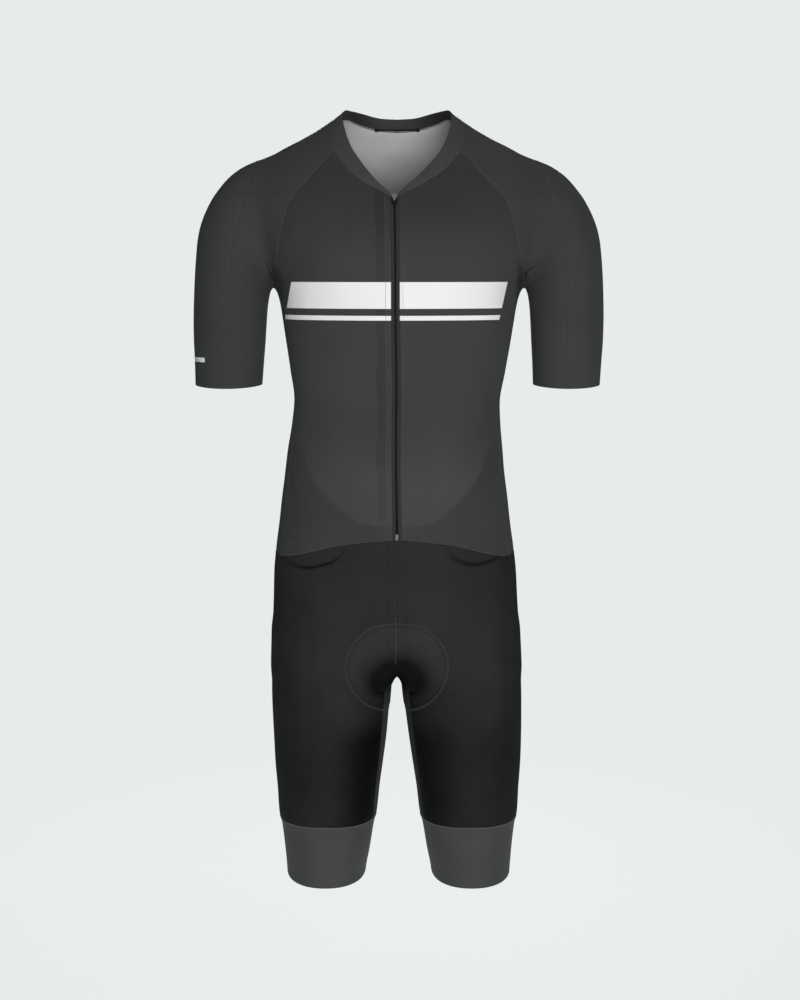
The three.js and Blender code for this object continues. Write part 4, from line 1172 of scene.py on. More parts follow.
def shell(
    node,
    rows,
    slot_name,
    face,
    reverse,
    lift=no_lift,
    thickness=CLOTH_THICKNESS,
    tone=no_lift,
    inner_tone=no_lift,
):
    """A thin closed shell of cloth on the form of one solid, which it replaces."""
    rows = with_edge_rows(rows)
    normals = unit(gradient(rows))
    across = rows[1, 2] - rows[1, 1]
    up = rows[2, 1] - rows[1, 1]
    if np.dot(np.cross(across, up), normals[1, 1]) < 0:
        rows = rows[:, ::-1]
        normals = normals[:, ::-1]
    height = lift(rows) + relief(rows)
    drop = np.zeros(height.shape)
    for index, share in enumerate(EDGE_DROP_SHARES):
        for edge in (drop[index], drop[-1 - index], drop[:, index], drop[:, -1 - index]):
            np.maximum(edge, EDGE_DROP * share, out=edge)
    outer = leaned(rows + normals * (height - drop)[..., None])
    inner = leaned(rows + normals * (height - thickness + INNER_DROP_SHARE * drop)[..., None])
    row_count, column_count = height.shape
    size = row_count * column_count
    outer_quads = grid_quads(row_count, column_count)
    inner_quads = grid_quads(row_count, column_count, size)[:, ::-1]
    index = np.arange(size).reshape(row_count, column_count)
    rim = np.concatenate([index[0, :-1], index[:-1, -1], index[-1, :0:-1], index[:0:-1, 0]])
    following = np.roll(rim, -1)
    rim_quads = np.stack([rim, rim + size, following + size, following], axis=-1)
    quads = np.concatenate([outer_quads, inner_quads, rim_quads])
    mesh = make_mesh(f"{node}_cloth", np.concatenate([outer.reshape(-1, 3), inner.reshape(-1, 3)]), quads)
    middle = arc_lengths(rows, 1)
    middle -= middle[:, column_count // 2][:, None]
    along = arc_lengths(rows, 0)
    cloth = np.stack([middle * MM, along * MM, 0 * along], axis=-1).reshape(-1, 3)
    set_vectors(mesh, "cloth", np.concatenate([cloth, cloth]))
    gaps = [middle - middle[:, :1], middle[:, -1:] - middle, along, along[-1:] - along]
    edge_gap = np.minimum.reduce(gaps).ravel()
    set_values(mesh, "edge", np.concatenate([edge_gap, edge_gap]) * MM)
    set_values(mesh, "tone", np.concatenate([tone(rows).ravel(), inner_tone(rows).ravel()]))
    mesh.materials.append(face)
    mesh.materials.append(reverse)
    sides = np.zeros(len(quads), dtype=np.int32)
    sides[len(outer_quads) : len(outer_quads) + len(inner_quads)] = 1
    mesh.polygons.foreach_set("material_index", sides)
    piece = add_object(mesh, SUIT, [node])


def both_sides(name, rows, *arguments, **options):
    shell(f"{name}_left", rows, *arguments, **options)
    shell(f"{name}_right", mirrored(rows), *arguments, **options)


class Thread:
    """Many short stitches, gathered into one joined mesh."""

    # Corners of a stitch's section, across and up, and the sections' places along it with their sizes
    RING = ((-1, -0.4), (1, -0.4), (0.7, 1), (-0.7, 1))
    SECTIONS = ((0.0, 0.45), (0.5, 1.0), (1.0, 0.45))

    def __init__(self, name, material, slot_name):
        self.name = name
        self.material = material
        self.slot_name = slot_name
        self.vertices = []
        self.quads = []

    def stitch(self, start, end, normals, width, height):
        """One bar for each pair of ends: three rings, the outer two small, with closed ends."""
        along = unit(end - start)
        sideways = unit(np.cross(along, normals))
        base = sum(len(block) for block in self.vertices)
        rings = []
        for share, size in self.SECTIONS:
            centre = start + (end - start) * share
            for across, up in self.RING:
                rings.append(centre + sideways * across * width / 2 * size + normals * up * height * size)
        self.vertices.append(np.stack(rings, axis=1).reshape(-1, 3))
        bar = []
        for low in (0, 4):
            for k in range(4):
                following = (k + 1) % 4
                bar.append((low + k, low + following, low + 4 + following, low + 4 + k))
        bar += [(3, 2, 1, 0), (8, 9, 10, 11)]
        starts = base + np.arange(len(start))[:, None, None] * len(rings)
        self.quads.append((starts + np.array(bar)[None]).reshape(-1, 4))

    def spaced(self, line, pitch, offset, lift, points_each):
        """Even points along a line that is moved sideways, out on the cloth, so many for each stitch."""
        line = shifted(line, offset)
        count = max(int(running_length(line)[-1] / pitch), 2)
        return on_cloth(lay_on_figure(evenly(line, points_each * count + 1), 3), lift)

    def row(self, line, pitch=2.4, length=1.7, width=0.55, height=0.3, offset=0.0, lift=no_lift):
        """A straight row of stitches along a line on the figure, moved sideways by the offset."""
        placed, normals = self.spaced(line, pitch, offset, lift, 2)
        centre = placed[1::2]
        half = (placed[2::2] - placed[:-2:2]) / 2 * (length / pitch)
        self.stitch(centre - half, centre + half, normals[1::2], width, height)

    def zigzag(self, line, pitch=2.0, reach=1.1, width=0.5, height=0.3, offset=0.0, lift=no_lift):
        """Stitches that cross a line from side to side."""
        placed, normals = self.spaced(line, pitch, offset, lift, 1)
        along = unit(np.gradient(placed, axis=0))
        sideways = unit(np.cross(along, normals)) * reach
        signs = np.where(np.arange(len(placed)) % 2 == 0, 1.0, -1.0)[:, None]
        corners = placed + sideways * signs
        self.stitch(corners[:-1], corners[1:], normals[:-1], width, height)

    def finish(self):
        mesh = make_mesh(self.name, np.concatenate(self.vertices), np.concatenate(self.quads))
        mesh.materials.append(self.material)
        return add_object(mesh, SUIT)


def shifted(line, offset):
    if offset == 0:
        return line
    normals = unit(gradient(line))
    along = unit(np.gradient(line, axis=0))
    return line + unit(np.cross(along, normals)) * offset


def on_cloth(line, lift):
    """Places a line of points on the figure out on the cloth's surface."""
    normals = unit(gradient(line))
    height = lift(line) + relief(line)
    return leaned(line + normals * height[:, None]), normals


def front_points(x, z):
    """Points on the figure's front at one x and several heights."""
    z = np.asarray(z, dtype=float)
    origins = points_of(np.full(z.shape, float(x)), 0, z)
    return cast_rays(origins, np.tile((0.0, -1.0, 0.0), (len(z), 1)))


def zip_line(x, from_z, to_z, cells):
    return front_points(x, np.linspace(from_z, to_z, cells + 1))


# Materials


class Shader:
    """A material's nodes, with short calls to add and join them."""

    def __init__(self, name):
        self.material = bpy.data.materials.new(name)
        self.material.use_nodes = True
        self.tree = self.material.node_tree
        self.surface = self.tree.nodes["Principled BSDF"]

    def add(self, kind, values=(), **settings):
        node = self.tree.nodes.new(kind)
        for key, value in settings.items():
            setattr(node, key, value)
        for key, value in dict(values).items():
            self.put(value, node.inputs[key])
        return node

    def put(self, value, socket):
        if isinstance(value, bpy.types.NodeSocket):
            self.tree.links.new(value, socket)
        else:
            socket.default_value = value

    def math(self, operation, a, b=0.0):
        return self.add("ShaderNodeMath", {0: a, 1: b}, operation=operation).outputs[0]

    def times(self, a, b):
        return self.math("MULTIPLY", a, b)

    def plus(self, a, b):
        return self.math("ADD", a, b)

    def place(self):
        """The object's own coordinates, in metres."""
        return self.add("ShaderNodeTexCoord").outputs["Object"]

    def ramp(self, value, low, high, top=1.0, **settings):
        """From 0 at the low bound up to the top at the high one."""
        values = {"Value": value, "From Min": low, "From Max": high, "To Max": top}
        return self.add("ShaderNodeMapRange", values, **settings).outputs["Result"]

    def attribute(self, name, output):
        return self.add("ShaderNodeAttribute", attribute_name=name).outputs[output]

    def split(self, vector):
        return self.add("ShaderNodeSeparateXYZ", {0: vector}).outputs

    def noise(self, vector, scale, detail=3.0, roughness=0.5):
        values = {"Vector": vector, "Scale": scale, "Detail": detail, "Roughness": roughness}
        return self.add("ShaderNodeTexNoise", values).outputs["Fac"]

    def mix(self, share, a, b):
        node = self.add("ShaderNodeMix", data_type="RGBA")
        self.put(share, node.inputs["Factor"])
        self.put(a, node.inputs["A"])
        self.put(b, node.inputs["B"])
        return node.outputs["Result"]

    def between(self, value, low, high, blur=0.0002):
        """1 where the value lies between two bounds, 0 elsewhere, with narrow soft edges."""
        rise = self.ramp(value, low - blur, low + blur)
        fall = self.ramp(value, high + blur, high - blur)
        return self.times(rise, fall)

    def bump(self, height, distance, strength=1.0, under=None):
        node = self.add("ShaderNodeBump", {"Height": height, "Distance": distance, "Strength": strength})
        if under is not None:
            self.put(under, node.inputs["Normal"])
        return node.outputs["Normal"]

    def set(self, **values):
        for key, value in values.items():
            self.put(value, self.surface.inputs[key.replace("_", " ")])


def grey(value, warmth=0.0):
    """A linear grey, a little warm or cool, with full alpha."""
    return (value * (1 + warmth), value, value * (1 - warmth), 1.0)


def knit_height(shader, across_pitch, along_pitch):
    """Rows of V-shaped knit stitches, in the cloth's own coordinates."""
    u, v, _ = shader.split(shader.attribute("cloth", "Vector"))
    across = shader.times(u, 2 * math.pi / across_pitch)
    slant = shader.times(shader.math("ABSOLUTE", shader.math("SINE", across)), KNIT_SLANT)
    along = shader.plus(shader.times(v, 2 * math.pi / along_pitch), slant)
    ribs = shader.math("ABSOLUTE", shader.math("COSINE", shader.times(across, 0.5)))
    loops = shader.times(shader.math("SINE", along), 0.5)
    return shader.plus(ribs, loops)


def knit_material(name, dark, light, across, along, roughness, depth, sheen, gloss, prints=None, folds=None):
    """A stretch knit: mottled colour, fine stitches, slight fuzz, paler edges, and painted shade in any
    folds.
    """
    shader = Shader(name)
    place = shader.place()
    mottle = shader.noise(place, 9.0, 4.0, 0.6)
    speckle = shader.noise(place, 900.0, 2.0)
    knit = knit_height(shader, across, along)
    share = shader.plus(shader.times(mottle, MOTTLE_SHARE), shader.times(speckle, SPECKLE_SHARE))
    share = shader.plus(share, shader.times(knit, STITCH_SHARE))
    # The tone attribute carries painted shade as well as the cloth's own tone
    share = shader.plus(share, shader.attribute("tone", "Fac"))
    color = shader.mix(share, grey(dark, KNIT_TINT), grey(light, KNIT_TINT))
    soft = shader.bump(shader.noise(place, 60.0, 3.0), 0.0006, 0.35)
    if folds is not None:
        pinched = folds(shader, place)
        # Painted shade: the folds darken the knit towards a near-black grey
        color = shader.mix(shader.times(pinched, FOLD_SHADE), color, grey(FOLD_SHADE_GREY))
        soft = shader.bump(shader.math("SUBTRACT", 1.0, pinched), FOLD_DEPTH, 0.9, soft)
    # Paler close to each piece's edges
    paler_edge = shader.ramp(shader.attribute("edge", "Fac"), PALER_EDGE_REACH, 0.0, PALER_EDGE_SHARE)
    color = shader.mix(paler_edge, color, grey(light * PALER_EDGE_FACTOR, KNIT_TINT))
    if prints is not None:
        color = shader.mix(prints(shader, place), color, grey(PRINT_GREY, -0.004))
    rough = shader.plus(roughness - 0.05, shader.times(mottle, 0.1))
    shader.set(Base_Color=color, Roughness=rough, Normal=shader.bump(knit, depth, 0.6, soft))
    shader.set(Specular_IOR_Level=gloss, Sheen_Weight=sheen, Sheen_Roughness=0.5)
    return shader.material


def armpit_folds(shader, place):
    """Short pinched folds under both arms: 1 in the middle of a fold and 0 beside it; the knit uses this for
    painted shade and a bump.
    """
    x, y, z = shader.split(place)
    beside = shader.ramp(shader.math("ABSOLUTE", y), FOLD_END_Y, FOLD_START_Y)
    share = None
    for start_x, start_z, end_x, end_z, half_width, start_depth in ARMPIT_FOLDS[1:]:
        run_x, run_z = (end_x - start_x) * MM, (end_z - start_z) * MM
        length = math.hypot(run_x, run_z)
        away_x = shader.math("SUBTRACT", x, start_x * MM)
        away_z = shader.math("SUBTRACT", z, start_z * MM)
        part_x = shader.times(away_x, run_x / length**2)
        part_z = shader.times(away_z, run_z / length**2)
        along = shader.add("ShaderNodeClamp", {"Value": shader.plus(part_x, part_z)}).outputs["Result"]
        gap_x = shader.math("SUBTRACT", away_x, shader.times(along, run_x))
        gap_z = shader.math("SUBTRACT", away_z, shader.times(along, run_z))
        square = shader.plus(shader.times(gap_x, gap_x), shader.times(gap_z, gap_z))
        gap = shader.math("SQRT", square)
        fold = shader.ramp(gap, half_width * MM, 0.0, interpolation_type="SMOOTHSTEP")
        growth = shader.times(along, 1 - start_depth)
        fold = shader.times(fold, shader.plus(growth, start_depth))
        share = fold if share is None else shader.math("MAXIMUM", share, fold)
    return shader.times(share, beside)


def chest_prints(shader, place):
    """A wide and a narrow plain band across the chest."""
    x, y, z = shader.split(place)
    slant = shader.plus(x, shader.times(z, CHEST_BAND_SLANT))
    bands = shader.math("MAXIMUM", shader.between(z, *WIDE_BAND_Z), shader.between(z, *NARROW_BAND_Z))
    chest = shader.times(bands, shader.between(slant, *CHEST_BAND_X))
    return shader.times(chest, shader.math("LESS_THAN", y, CHEST_FRONT_Y))


def sleeve_prints(shader, place):
    """A short plain bar above the hem of one sleeve."""
    x, y, z = shader.split(place)
    on_side = shader.math("LESS_THAN", x, SLEEVE_BAR_OUTSIDE_X)
    in_front = shader.between(y, *SLEEVE_BAR_Y)
    return shader.times(shader.times(on_side, in_front), shader.between(z, *SLEEVE_BAR_Z))


def woven_material(name, dark, light, pitch, roughness):
    """A narrow woven tape: a plain weave of fine ribs."""
    shader = Shader(name)
    u, v, _ = shader.split(shader.attribute("cloth", "Vector"))
    turn = 2 * math.pi / pitch
    ribs = shader.times(shader.math("SINE", shader.times(u, turn)), 0.5)
    cross = shader.times(shader.math("SINE", shader.times(v, turn)), 0.5)
    weave = shader.times(ribs, cross)
    share = shader.plus(shader.noise(shader.place(), 700.0), shader.times(weave, 0.6))
    shader.set(Base_Color=shader.mix(share, grey(dark), grey(light)), Roughness=roughness)
    shader.set(Normal=shader.bump(weave, 0.0003, 0.7), Specular_IOR_Level=0.12)
    return shader.material


def thread_material(name, dark, light):
    """Twisted sewing thread."""
    shader = Shader(name)
    twist = shader.noise(shader.place(), 2600.0, 1.0)
    shader.set(Base_Color=shader.mix(twist, grey(dark), grey(light)), Roughness=0.6)
    shader.set(Normal=shader.bump(twist, 0.0001, 0.5), Specular_IOR_Level=0.2)
    return shader.material


def metal_material(name, color):
    """Coated cast metal with fine brushing and darker dulled spots."""
    shader = Shader(name)
    place = shader.place()
    stretch = shader.add("ShaderNodeMapping", {"Vector": place, "Scale": (400.0, 400.0, 3000.0)})
    brushed = shader.noise(stretch.outputs["Vector"], 1.0, 2.0)
    dull = shader.noise(place, 500.0, 3.0)
    shader.set(Base_Color=shader.mix(dull, grey(color * 0.7), grey(color)), Metallic=0.9)
    shader.set(Roughness=shader.plus(0.42, shader.times(dull, 0.2)))
    shader.set(Normal=shader.bump(brushed, 0.00003, 0.5))
    return shader.material


def plastic_material(name, color, roughness):
    """Moulded plastic with a fine spark-eroded grain."""
    shader = Shader(name)
    place = shader.place()
    grain = shader.noise(place, 4200.0, 2.0)
    cloud = shader.noise(place, 220.0, 2.0)
    shader.set(Base_Color=shader.mix(cloud, grey(color * 0.75), grey(color * 1.3)), Roughness=roughness)
    shader.set(Normal=shader.bump(grain, 0.00005, 0.5), Specular_IOR_Level=0.06)
    return shader.material


def floor_material():
    """A pale floor that fades out into the backdrop."""
    shader = Shader("pale_floor")
    far = shader.add("ShaderNodeVectorMath", {0: shader.place()}, operation="LENGTH").outputs["Value"]
    fade = shader.ramp(far, FLOOR_FADE_START, FLOOR_FADE_END)
    shader.set(Base_Color=FLOOR_COLOR, Roughness=0.9, Specular_IOR_Level=0.1)
    shader.set(Emission_Color=FLOOR_GLOW, Emission_Strength=1.0)
    clear = shader.add("ShaderNodeBsdfTransparent").outputs[0]
    blend = shader.add("ShaderNodeMixShader", {0: fade, 1: shader.surface.outputs[0], 2: clear})
    output = shader.tree.nodes["Material Output"]
    shader.put(blend.outputs[0], output.inputs["Surface"])
    return shader.material


def build_materials():
    marks = {"jersey": (chest_prints, armpit_folds), "sleeve": (sleeve_prints, armpit_folds)}
    materials = {key: knit_material(*row, *marks.get(key, ())) for key, *row in KNITS[1:]}
    materials["tape"] = woven_material("black_tape", dark=0.004, light=0.010, pitch=0.0011, roughness=0.7)
    for key, *row in THREADS[1:]:
        materials[key] = thread_material(*row)
    materials["coil"] = plastic_material("coil_nylon", color=0.005, roughness=0.5)
    materials["metal"] = metal_material("slider_metal", color=0.2)
    materials["stop"] = metal_material("stop_metal", color=0.09)
    materials["pull"] = plastic_material("pull_rubber", color=0.003, roughness=0.6)
    return materials


# Pieces


# Each tone function says how far the cloth is towards the lighter of its two colours at each point; much of
# it is painted shade


def armpit_painted_shade(rows):
    """Painted shade: the cloth is darker in the hollow where it is pinched together under the arm."""
    across = (np.abs(rows[..., 0]) - ARMPIT_X) / ARMPIT_DARK_HALF_WIDTH
    along = (rows[..., 2] - ARMPIT_Z) / ARMPIT_DARK_HALF_HEIGHT
    return -ARMPIT_PAINTED_SHADE * np.exp(-(across**2) - along**2)


def collar_tone(rows):
    """The inside of the collar lies in shade."""
    return no_lift(rows) - COLLAR_INSIDE_DARKER


def jersey_tone(rows):
    """The jersey is lighter inside the curved edge of the shorts below it and darker over the zip guard, with
    painted shade on the upper chest and under the arms.
    """
    flat = rows.reshape(-1, 3)
    x, z = np.abs(flat[:, 0]), flat[:, 2]
    guides = np.array(UNDERLAP, dtype=float)
    edge_z = np.interp(x, guides[:, 0], guides[:, 2])
    covered = smooth_step(UNDERLAP_EDGE_BLUR, -UNDERLAP_EDGE_BLUR, z - edge_z)
    belly = smooth_step(*BELLY_LIGHT_Z, z) * (1 - covered)
    over_guard = (flat[:, 0] > GUARD_LEFT_X) & (flat[:, 0] < GUARD_STITCH_X) & (z > GUARD_BOTTOM_Z)
    # Painted shade on the upper chest
    chest = smooth_step(*CHEST_SHADE_Z, z)
    tone = BELLY_LIGHTER * belly - UNDERLAP_DARKER * covered - GUARD_DARKER * over_guard
    tone -= CHEST_PAINTED_SHADE * chest
    return tone.reshape(rows.shape[:-1]) + armpit_painted_shade(rows)


def crotch_painted_shade(rows):
    """Painted shade: the cloth is darkest where the legs meet."""
    across = rows[..., 0] / CROTCH_DARK_HALF_WIDTH
    along = (rows[..., 2] - CROTCH_DARK_Z) / CROTCH_DARK_HALF_HEIGHT
    return -CROTCH_PAINTED_SHADE * np.exp(-(across**2) - along**2)


def shorts_tone(rows):
    """The pad is a little lighter; painted shade darkens the cloth down the legs, between the thighs, in the
    grooves under the hem and where the legs meet.
    """
    flat = rows.reshape(-1, 3)
    x, z = flat[:, 0], flat[:, 2]
    # The pad is a little lighter, and painted shade darkens the legs further down
    tone = PAD_LIGHTER * pad_share(flat) - LEG_PAINTED_SHADE * smooth_step(*LEG_SHADE_Z, z)
    # Painted shade where the legs meet
    tone += crotch_painted_shade(flat)
    # Painted shade between the thighs, stronger on the wearer's right
    inner_leg_shade = smooth_step(*INNER_LEG_SHADE_X, np.abs(x)) * smooth_step(*INNER_LEG_SHADE_Z, z)
    tone -= np.where(x < 0, INNER_LEG_RIGHT_SHADE, INNER_LEG_LEFT_SHADE) * inner_leg_shade
    # Painted shade in the grooves under the hem, darker where a groove is deeper
    for crease in UNDER_HEM_SEAMS:
        tone += UNDER_HEM_SEAM_SHADE * crease.height(flat)
    return tone.reshape(rows.shape[:-1])


def inside_tone_and_shade(rows):
    """The pale reverse of the jersey back is lighter all over, with painted shade that darkens it further
    down inside the back.
    """
    return REVERSE_LIGHTER - REVERSE_PAINTED_SHADE * smooth_step(*REVERSE_SHADE_Z, rows[..., 2])


def build_seams():
    return {
        "collar_front": seam(COLLAR_SEAM_FRONT, FRONT_CELLS),
        "collar_sleeve_front": seam(COLLAR_SEAM_SLEEVE_FRONT, SLEEVE_FRONT_CELLS),
        "collar_sleeve_outer": seam(COLLAR_SEAM_SLEEVE_OUTER, SLEEVE_OUTER_CELLS),
        "collar_back": seam(COLLAR_SEAM_BACK, BACK_HALF_CELLS),
        "raglan_front": seam(RAGLAN_FRONT, RAGLAN_CELLS),
        "raglan_back": seam(RAGLAN_BACK, RAGLAN_CELLS),
        "side": seam(SIDE_SEAM, SIDE_CELLS),
        "underarm": seam(UNDERARM, UNDERARM_CELLS),
        "sleeve": join(seam(SLEEVE_SEAM_LOWER, UNDERARM_CELLS), seam(SLEEVE_SEAM_UPPER, RAGLAN_CELLS)),
        "lower_side": seam(LOWER_SIDE_SEAM, LOWER_SIDE_CELLS),
        "upper_side": seam(UPPER_SIDE_SEAM, UPPER_SIDE_CELLS),
        "inner_front": seam(INNER_SEAM_FRONT, INNER_SEAM_CELLS),
        "inner_back": seam(INNER_SEAM_BACK, INNER_SEAM_CELLS),
        "crotch": seam(CROTCH_SEAM, INNER_THIGH_CELLS),
        "waist_back": seam(WAIST_BACK, BACK_HALF_CELLS),
        "front_hem": seam(FRONT_HEM, FRONT_CELLS),
        "front_centre": seam(FRONT_CENTRE, LOWER_SIDE_CELLS + UPPER_SIDE_CELLS - INNER_SEAM_CELLS),
        "back_centre": seam(BACK_CENTRE, LOWER_SIDE_CELLS - INNER_SEAM_CELLS),
        "underlap": seam(UNDERLAP, SHORTS_FRONT_CELLS),
        "cuff_front": seam(CUFF_TOP_FRONT, SHORTS_FRONT_CELLS),
        "cuff_back": seam(CUFF_TOP_BACK, BACK_HALF_CELLS),
        "cuff_inner": seam(CUFF_TOP_INNER, INNER_THIGH_CELLS),
    }


def jersey_front_rows(seams):
    bottom = seams["front_hem"]
    top = seams["collar_front"]
    left = zip_line(PANEL_EDGE_X, bottom[0, 2], top[0, 2], ZIP_CELLS)
    left[0], left[-1] = bottom[0], top[0]
    right = join(seams["side"], seams["raglan_front"])
    return fill_piece(TRUNK_CHART, bottom, top, left, right)


def jersey_back_rows(seams):
    bottom, top = seams["waist_back"], seams["collar_back"]
    heights = np.linspace(bottom[-1, 2], top[-1, 2], ZIP_CELLS + 1)
    origins = points_of(0 * heights, 0, heights)
    centre = cast_rays(origins, np.tile((0.0, 1.0, 0.0), (len(heights), 1)))
    centre[0], centre[-1] = bottom[-1], top[-1]
    left = join(seams["side"], seams["raglan_back"])
    half = fill_piece(TRUNK_CHART, bottom, top, left, centre)
    return np.concatenate([half, mirrored(half)[:, -2::-1]], axis=1)


def hem_arc(first, last, from_angle, to_angle, cells):
    angles = np.linspace(from_angle, to_angle, cells + 1)
    z = SLEEVE_HEM_FRONT_Z + (SLEEVE_HEM_INNER_Z - SLEEVE_HEM_FRONT_Z) * np.cos(angles) ** 2
    origins = points_of(ARM("centre", z), 0, z)
    arc = cast_rays(origins, points_of(np.cos(angles), np.sin(angles), 0 * z))
    arc[0], arc[-1] = first, last
    return arc


def sleeve_rows(seams):
    corner, start = seams["sleeve"][0], seams["underarm"][0]
    corner_angle = math.atan2(corner[1], corner[0] - float(ARM("centre", corner[2])))
    front_hem = hem_arc(start, corner, -math.pi, corner_angle, SLEEVE_FRONT_CELLS)
    outer_hem = hem_arc(corner, start, corner_angle, math.pi, SLEEVE_OUTER_CELLS)
    front_left = join(seams["underarm"], seams["raglan_front"])
    front = fill_piece(
        SLEEVE_CHART, front_hem, seams["collar_sleeve_front"], front_left, seams["sleeve"], -math.pi
    )
    outer_right = join(seams["underarm"], seams["raglan_back"])
    outer = fill_piece(
        SLEEVE_CHART, outer_hem, seams["collar_sleeve_outer"], seams["sleeve"], outer_right, -math.pi / 2
    )
    return front, outer


def collar_rows(seams):
    names = ("collar_front", "collar_sleeve_front", "collar_sleeve_outer", "collar_back")
    lower = join(*(seams[name] for name in names))
    lengths = running_length(lower)
    curve = smooth_curve(COLLAR_TOP, COLLAR_TOP_POINTS)
    shares = lengths / lengths[-1] * (COLLAR_TOP_POINTS - 1)
    steps = np.arange(COLLAR_TOP_POINTS)
    upper = np.stack([np.interp(shares, steps, curve[:, axis]) for axis in range(3)], axis=-1)
    upper = lay_on_figure(upper)
    rows = []
    for j in range(COLLAR_CELLS + 1):
        half = lay_on_figure(lower + (upper - lower) * j / COLLAR_CELLS) if j else lower
        rows.append(np.concatenate([half, mirrored(half)[-2::-1]]))
    return np.stack(rows)


def shorts_rows(seams):
    front = fill_piece(
        LEG_CHART,
        seams["cuff_front"],
        seams["underlap"],
        join(seams["inner_front"], seams["front_centre"]),
        join(seams["lower_side"], seams["upper_side"]),
    )
    back = fill_piece(
        LEG_CHART,
        seams["cuff_back"],
        seams["waist_back"],
        seams["lower_side"],
        join(seams["inner_back"], seams["back_centre"]),
        math.pi / 2,
    )
    inner = fill_piece(
        LEG_CHART,
        seams["cuff_inner"][::-1],
        seams["crotch"],
        seams["inner_front"],
        seams["inner_back"],
        -math.pi / 3,
    )
    return front, back, inner


def cuff_rows(seams):
    top = join(seams["cuff_front"], seams["cuff_back"], seams["cuff_inner"])
    angles = LEG_CHART.to_flat(top)[:, 0]
    bottom_z = CUFF_BOTTOM_SIDE_Z + (CUFF_BOTTOM_FRONT_Z - CUFF_BOTTOM_SIDE_Z) * np.maximum(0, np.cos(angles))
    rows = []
    for j in range(CUFF_CELLS):
        heights = bottom_z + (top[:, 2] - bottom_z) * j / CUFF_CELLS
        rows.append(cast_rays(LEG_CHART.origin(heights), LEG_CHART.direction(angles, heights)))
    return np.stack(rows + [top])


def zip_strip(xs, from_z, to_z, cells):
    """A strip of cloth up the zip, between the first and the last x."""
    return np.stack([zip_line(x, from_z, to_z, cells) for x in xs], axis=1)


def tape_lift(points):
    return jersey_lift(points) - TAPE_SINK


def guard_lift(points):
    return jersey_lift(points) - CLOTH_THICKNESS - GUARD_SINK


def zip_pieces(materials):
    """The two zip tapes and the guard behind them."""
    guard, tape = materials["guard"], materials["tape"]
    for side, sign in (("left", 1), ("right", -1)):
        xs = np.linspace(TAPE_INNER_X, PANEL_EDGE_X, TAPE_LINES) * sign
        rows = zip_strip(xs, FRONT_HEM_Z, NECK_POINT_Z, ZIP_CELLS)
        shell(f"zip_tape_{side}", rows, "trim", guard, tape, tape_lift, TAPE_THICKNESS)
    xs = np.linspace(GUARD_LEFT_X, GUARD_RIGHT_X, GUARD_LINES)
    rows = zip_strip(xs, GUARD_BOTTOM_Z, GUARD_TOP_Z, GUARD_CELLS)
    shell("zip_guard", rows, "panel", guard, guard, guard_lift, TAPE_THICKNESS)


def zip_teeth(materials):
    """Two interlocked rows of moulded coil turns up the zip."""
    count = int((NECK_POINT_Z - FRONT_HEM_Z) / COIL_PITCH)
    z = FRONT_HEM_Z + COIL_PITCH * (np.arange(count) + 0.5)
    line = front_points(0, z)
    normals = unit(gradient(line))
    height = jersey_lift(line) + relief(line) + COIL_LIFT
    placed = leaned(line + normals * height[:, None])
    thread = Thread("zip_coil_turns", materials["coil"], "trim")
    side = np.where(np.arange(count) % 2 == 0, 1.0, -1.0)
    across = np.zeros((count, 3))
    across[:, 0] = side
    root = placed + across * COIL_TURN_REACH
    tip = placed - across * COIL_TURN_OVERLAP
    thread.stitch(root, tip, normals, width=1.0, height=0.5)
    step = np.array([0, 0, COIL_PITCH])
    for sign in (1.0, -1.0):
        chosen = side == sign
        root = placed[chosen] + across[chosen] * COIL_ROOT_REACH
        thread.stitch(root - step, root + step, normals[chosen], width=0.6, height=0.35)
    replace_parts(thread.finish(), "zip_coil")


def neck_tape(materials):
    """The black hanging tape lies inside the back neck, thicker where it is tacked down at both ends."""
    x = np.linspace(-NECK_TAPE_HALF_LENGTH, NECK_TAPE_HALF_LENGTH, NECK_TAPE_POINTS)
    tacked = smooth_step(NECK_TAPE_TACK_START, NECK_TAPE_TACK_END, np.abs(x))
    half_height = NECK_TAPE_HALF_HEIGHT + NECK_TAPE_TACK_RISE * tacked
    rows = []
    for share in np.linspace(-1, 1, NECK_TAPE_LINES):
        origins = points_of(x, 0, NECK_TAPE_Z + share * half_height)
        rows.append(cast_rays(origins, np.tile((0.0, 1.0, 0.0), (len(x), 1))))
    tape = materials["tape"]
    shell("neck_tape", np.stack(rows), "trim", tape, tape, neck_tape_lift, TAPE_THICKNESS)


def neck_tape_lift(points):
    bow = 1 - (points[..., 0] / NECK_TAPE_HALF_LENGTH) ** 2
    return -CLOTH_THICKNESS - NECK_TAPE_SINK - NECK_TAPE_BOW * np.clip(bow, 0, 1)


def front_seat(z):
    """Where a small hard piece sits on the zip: its frame has -Y outward and +Z up the zip."""
    point = front_points(0, np.array([float(z)]))
    normal = unit(gradient(point))[0]
    lift = float(jersey_lift(point)[0]) + COIL_LIFT + SEAM_GAP
    place = leaned(point + normal * lift)[0]
    turn = Matrix.Rotation(-math.atan2(normal[2], -normal[1]), 4, "X")
    return Matrix.Translation(Vector(place * MM)) @ turn


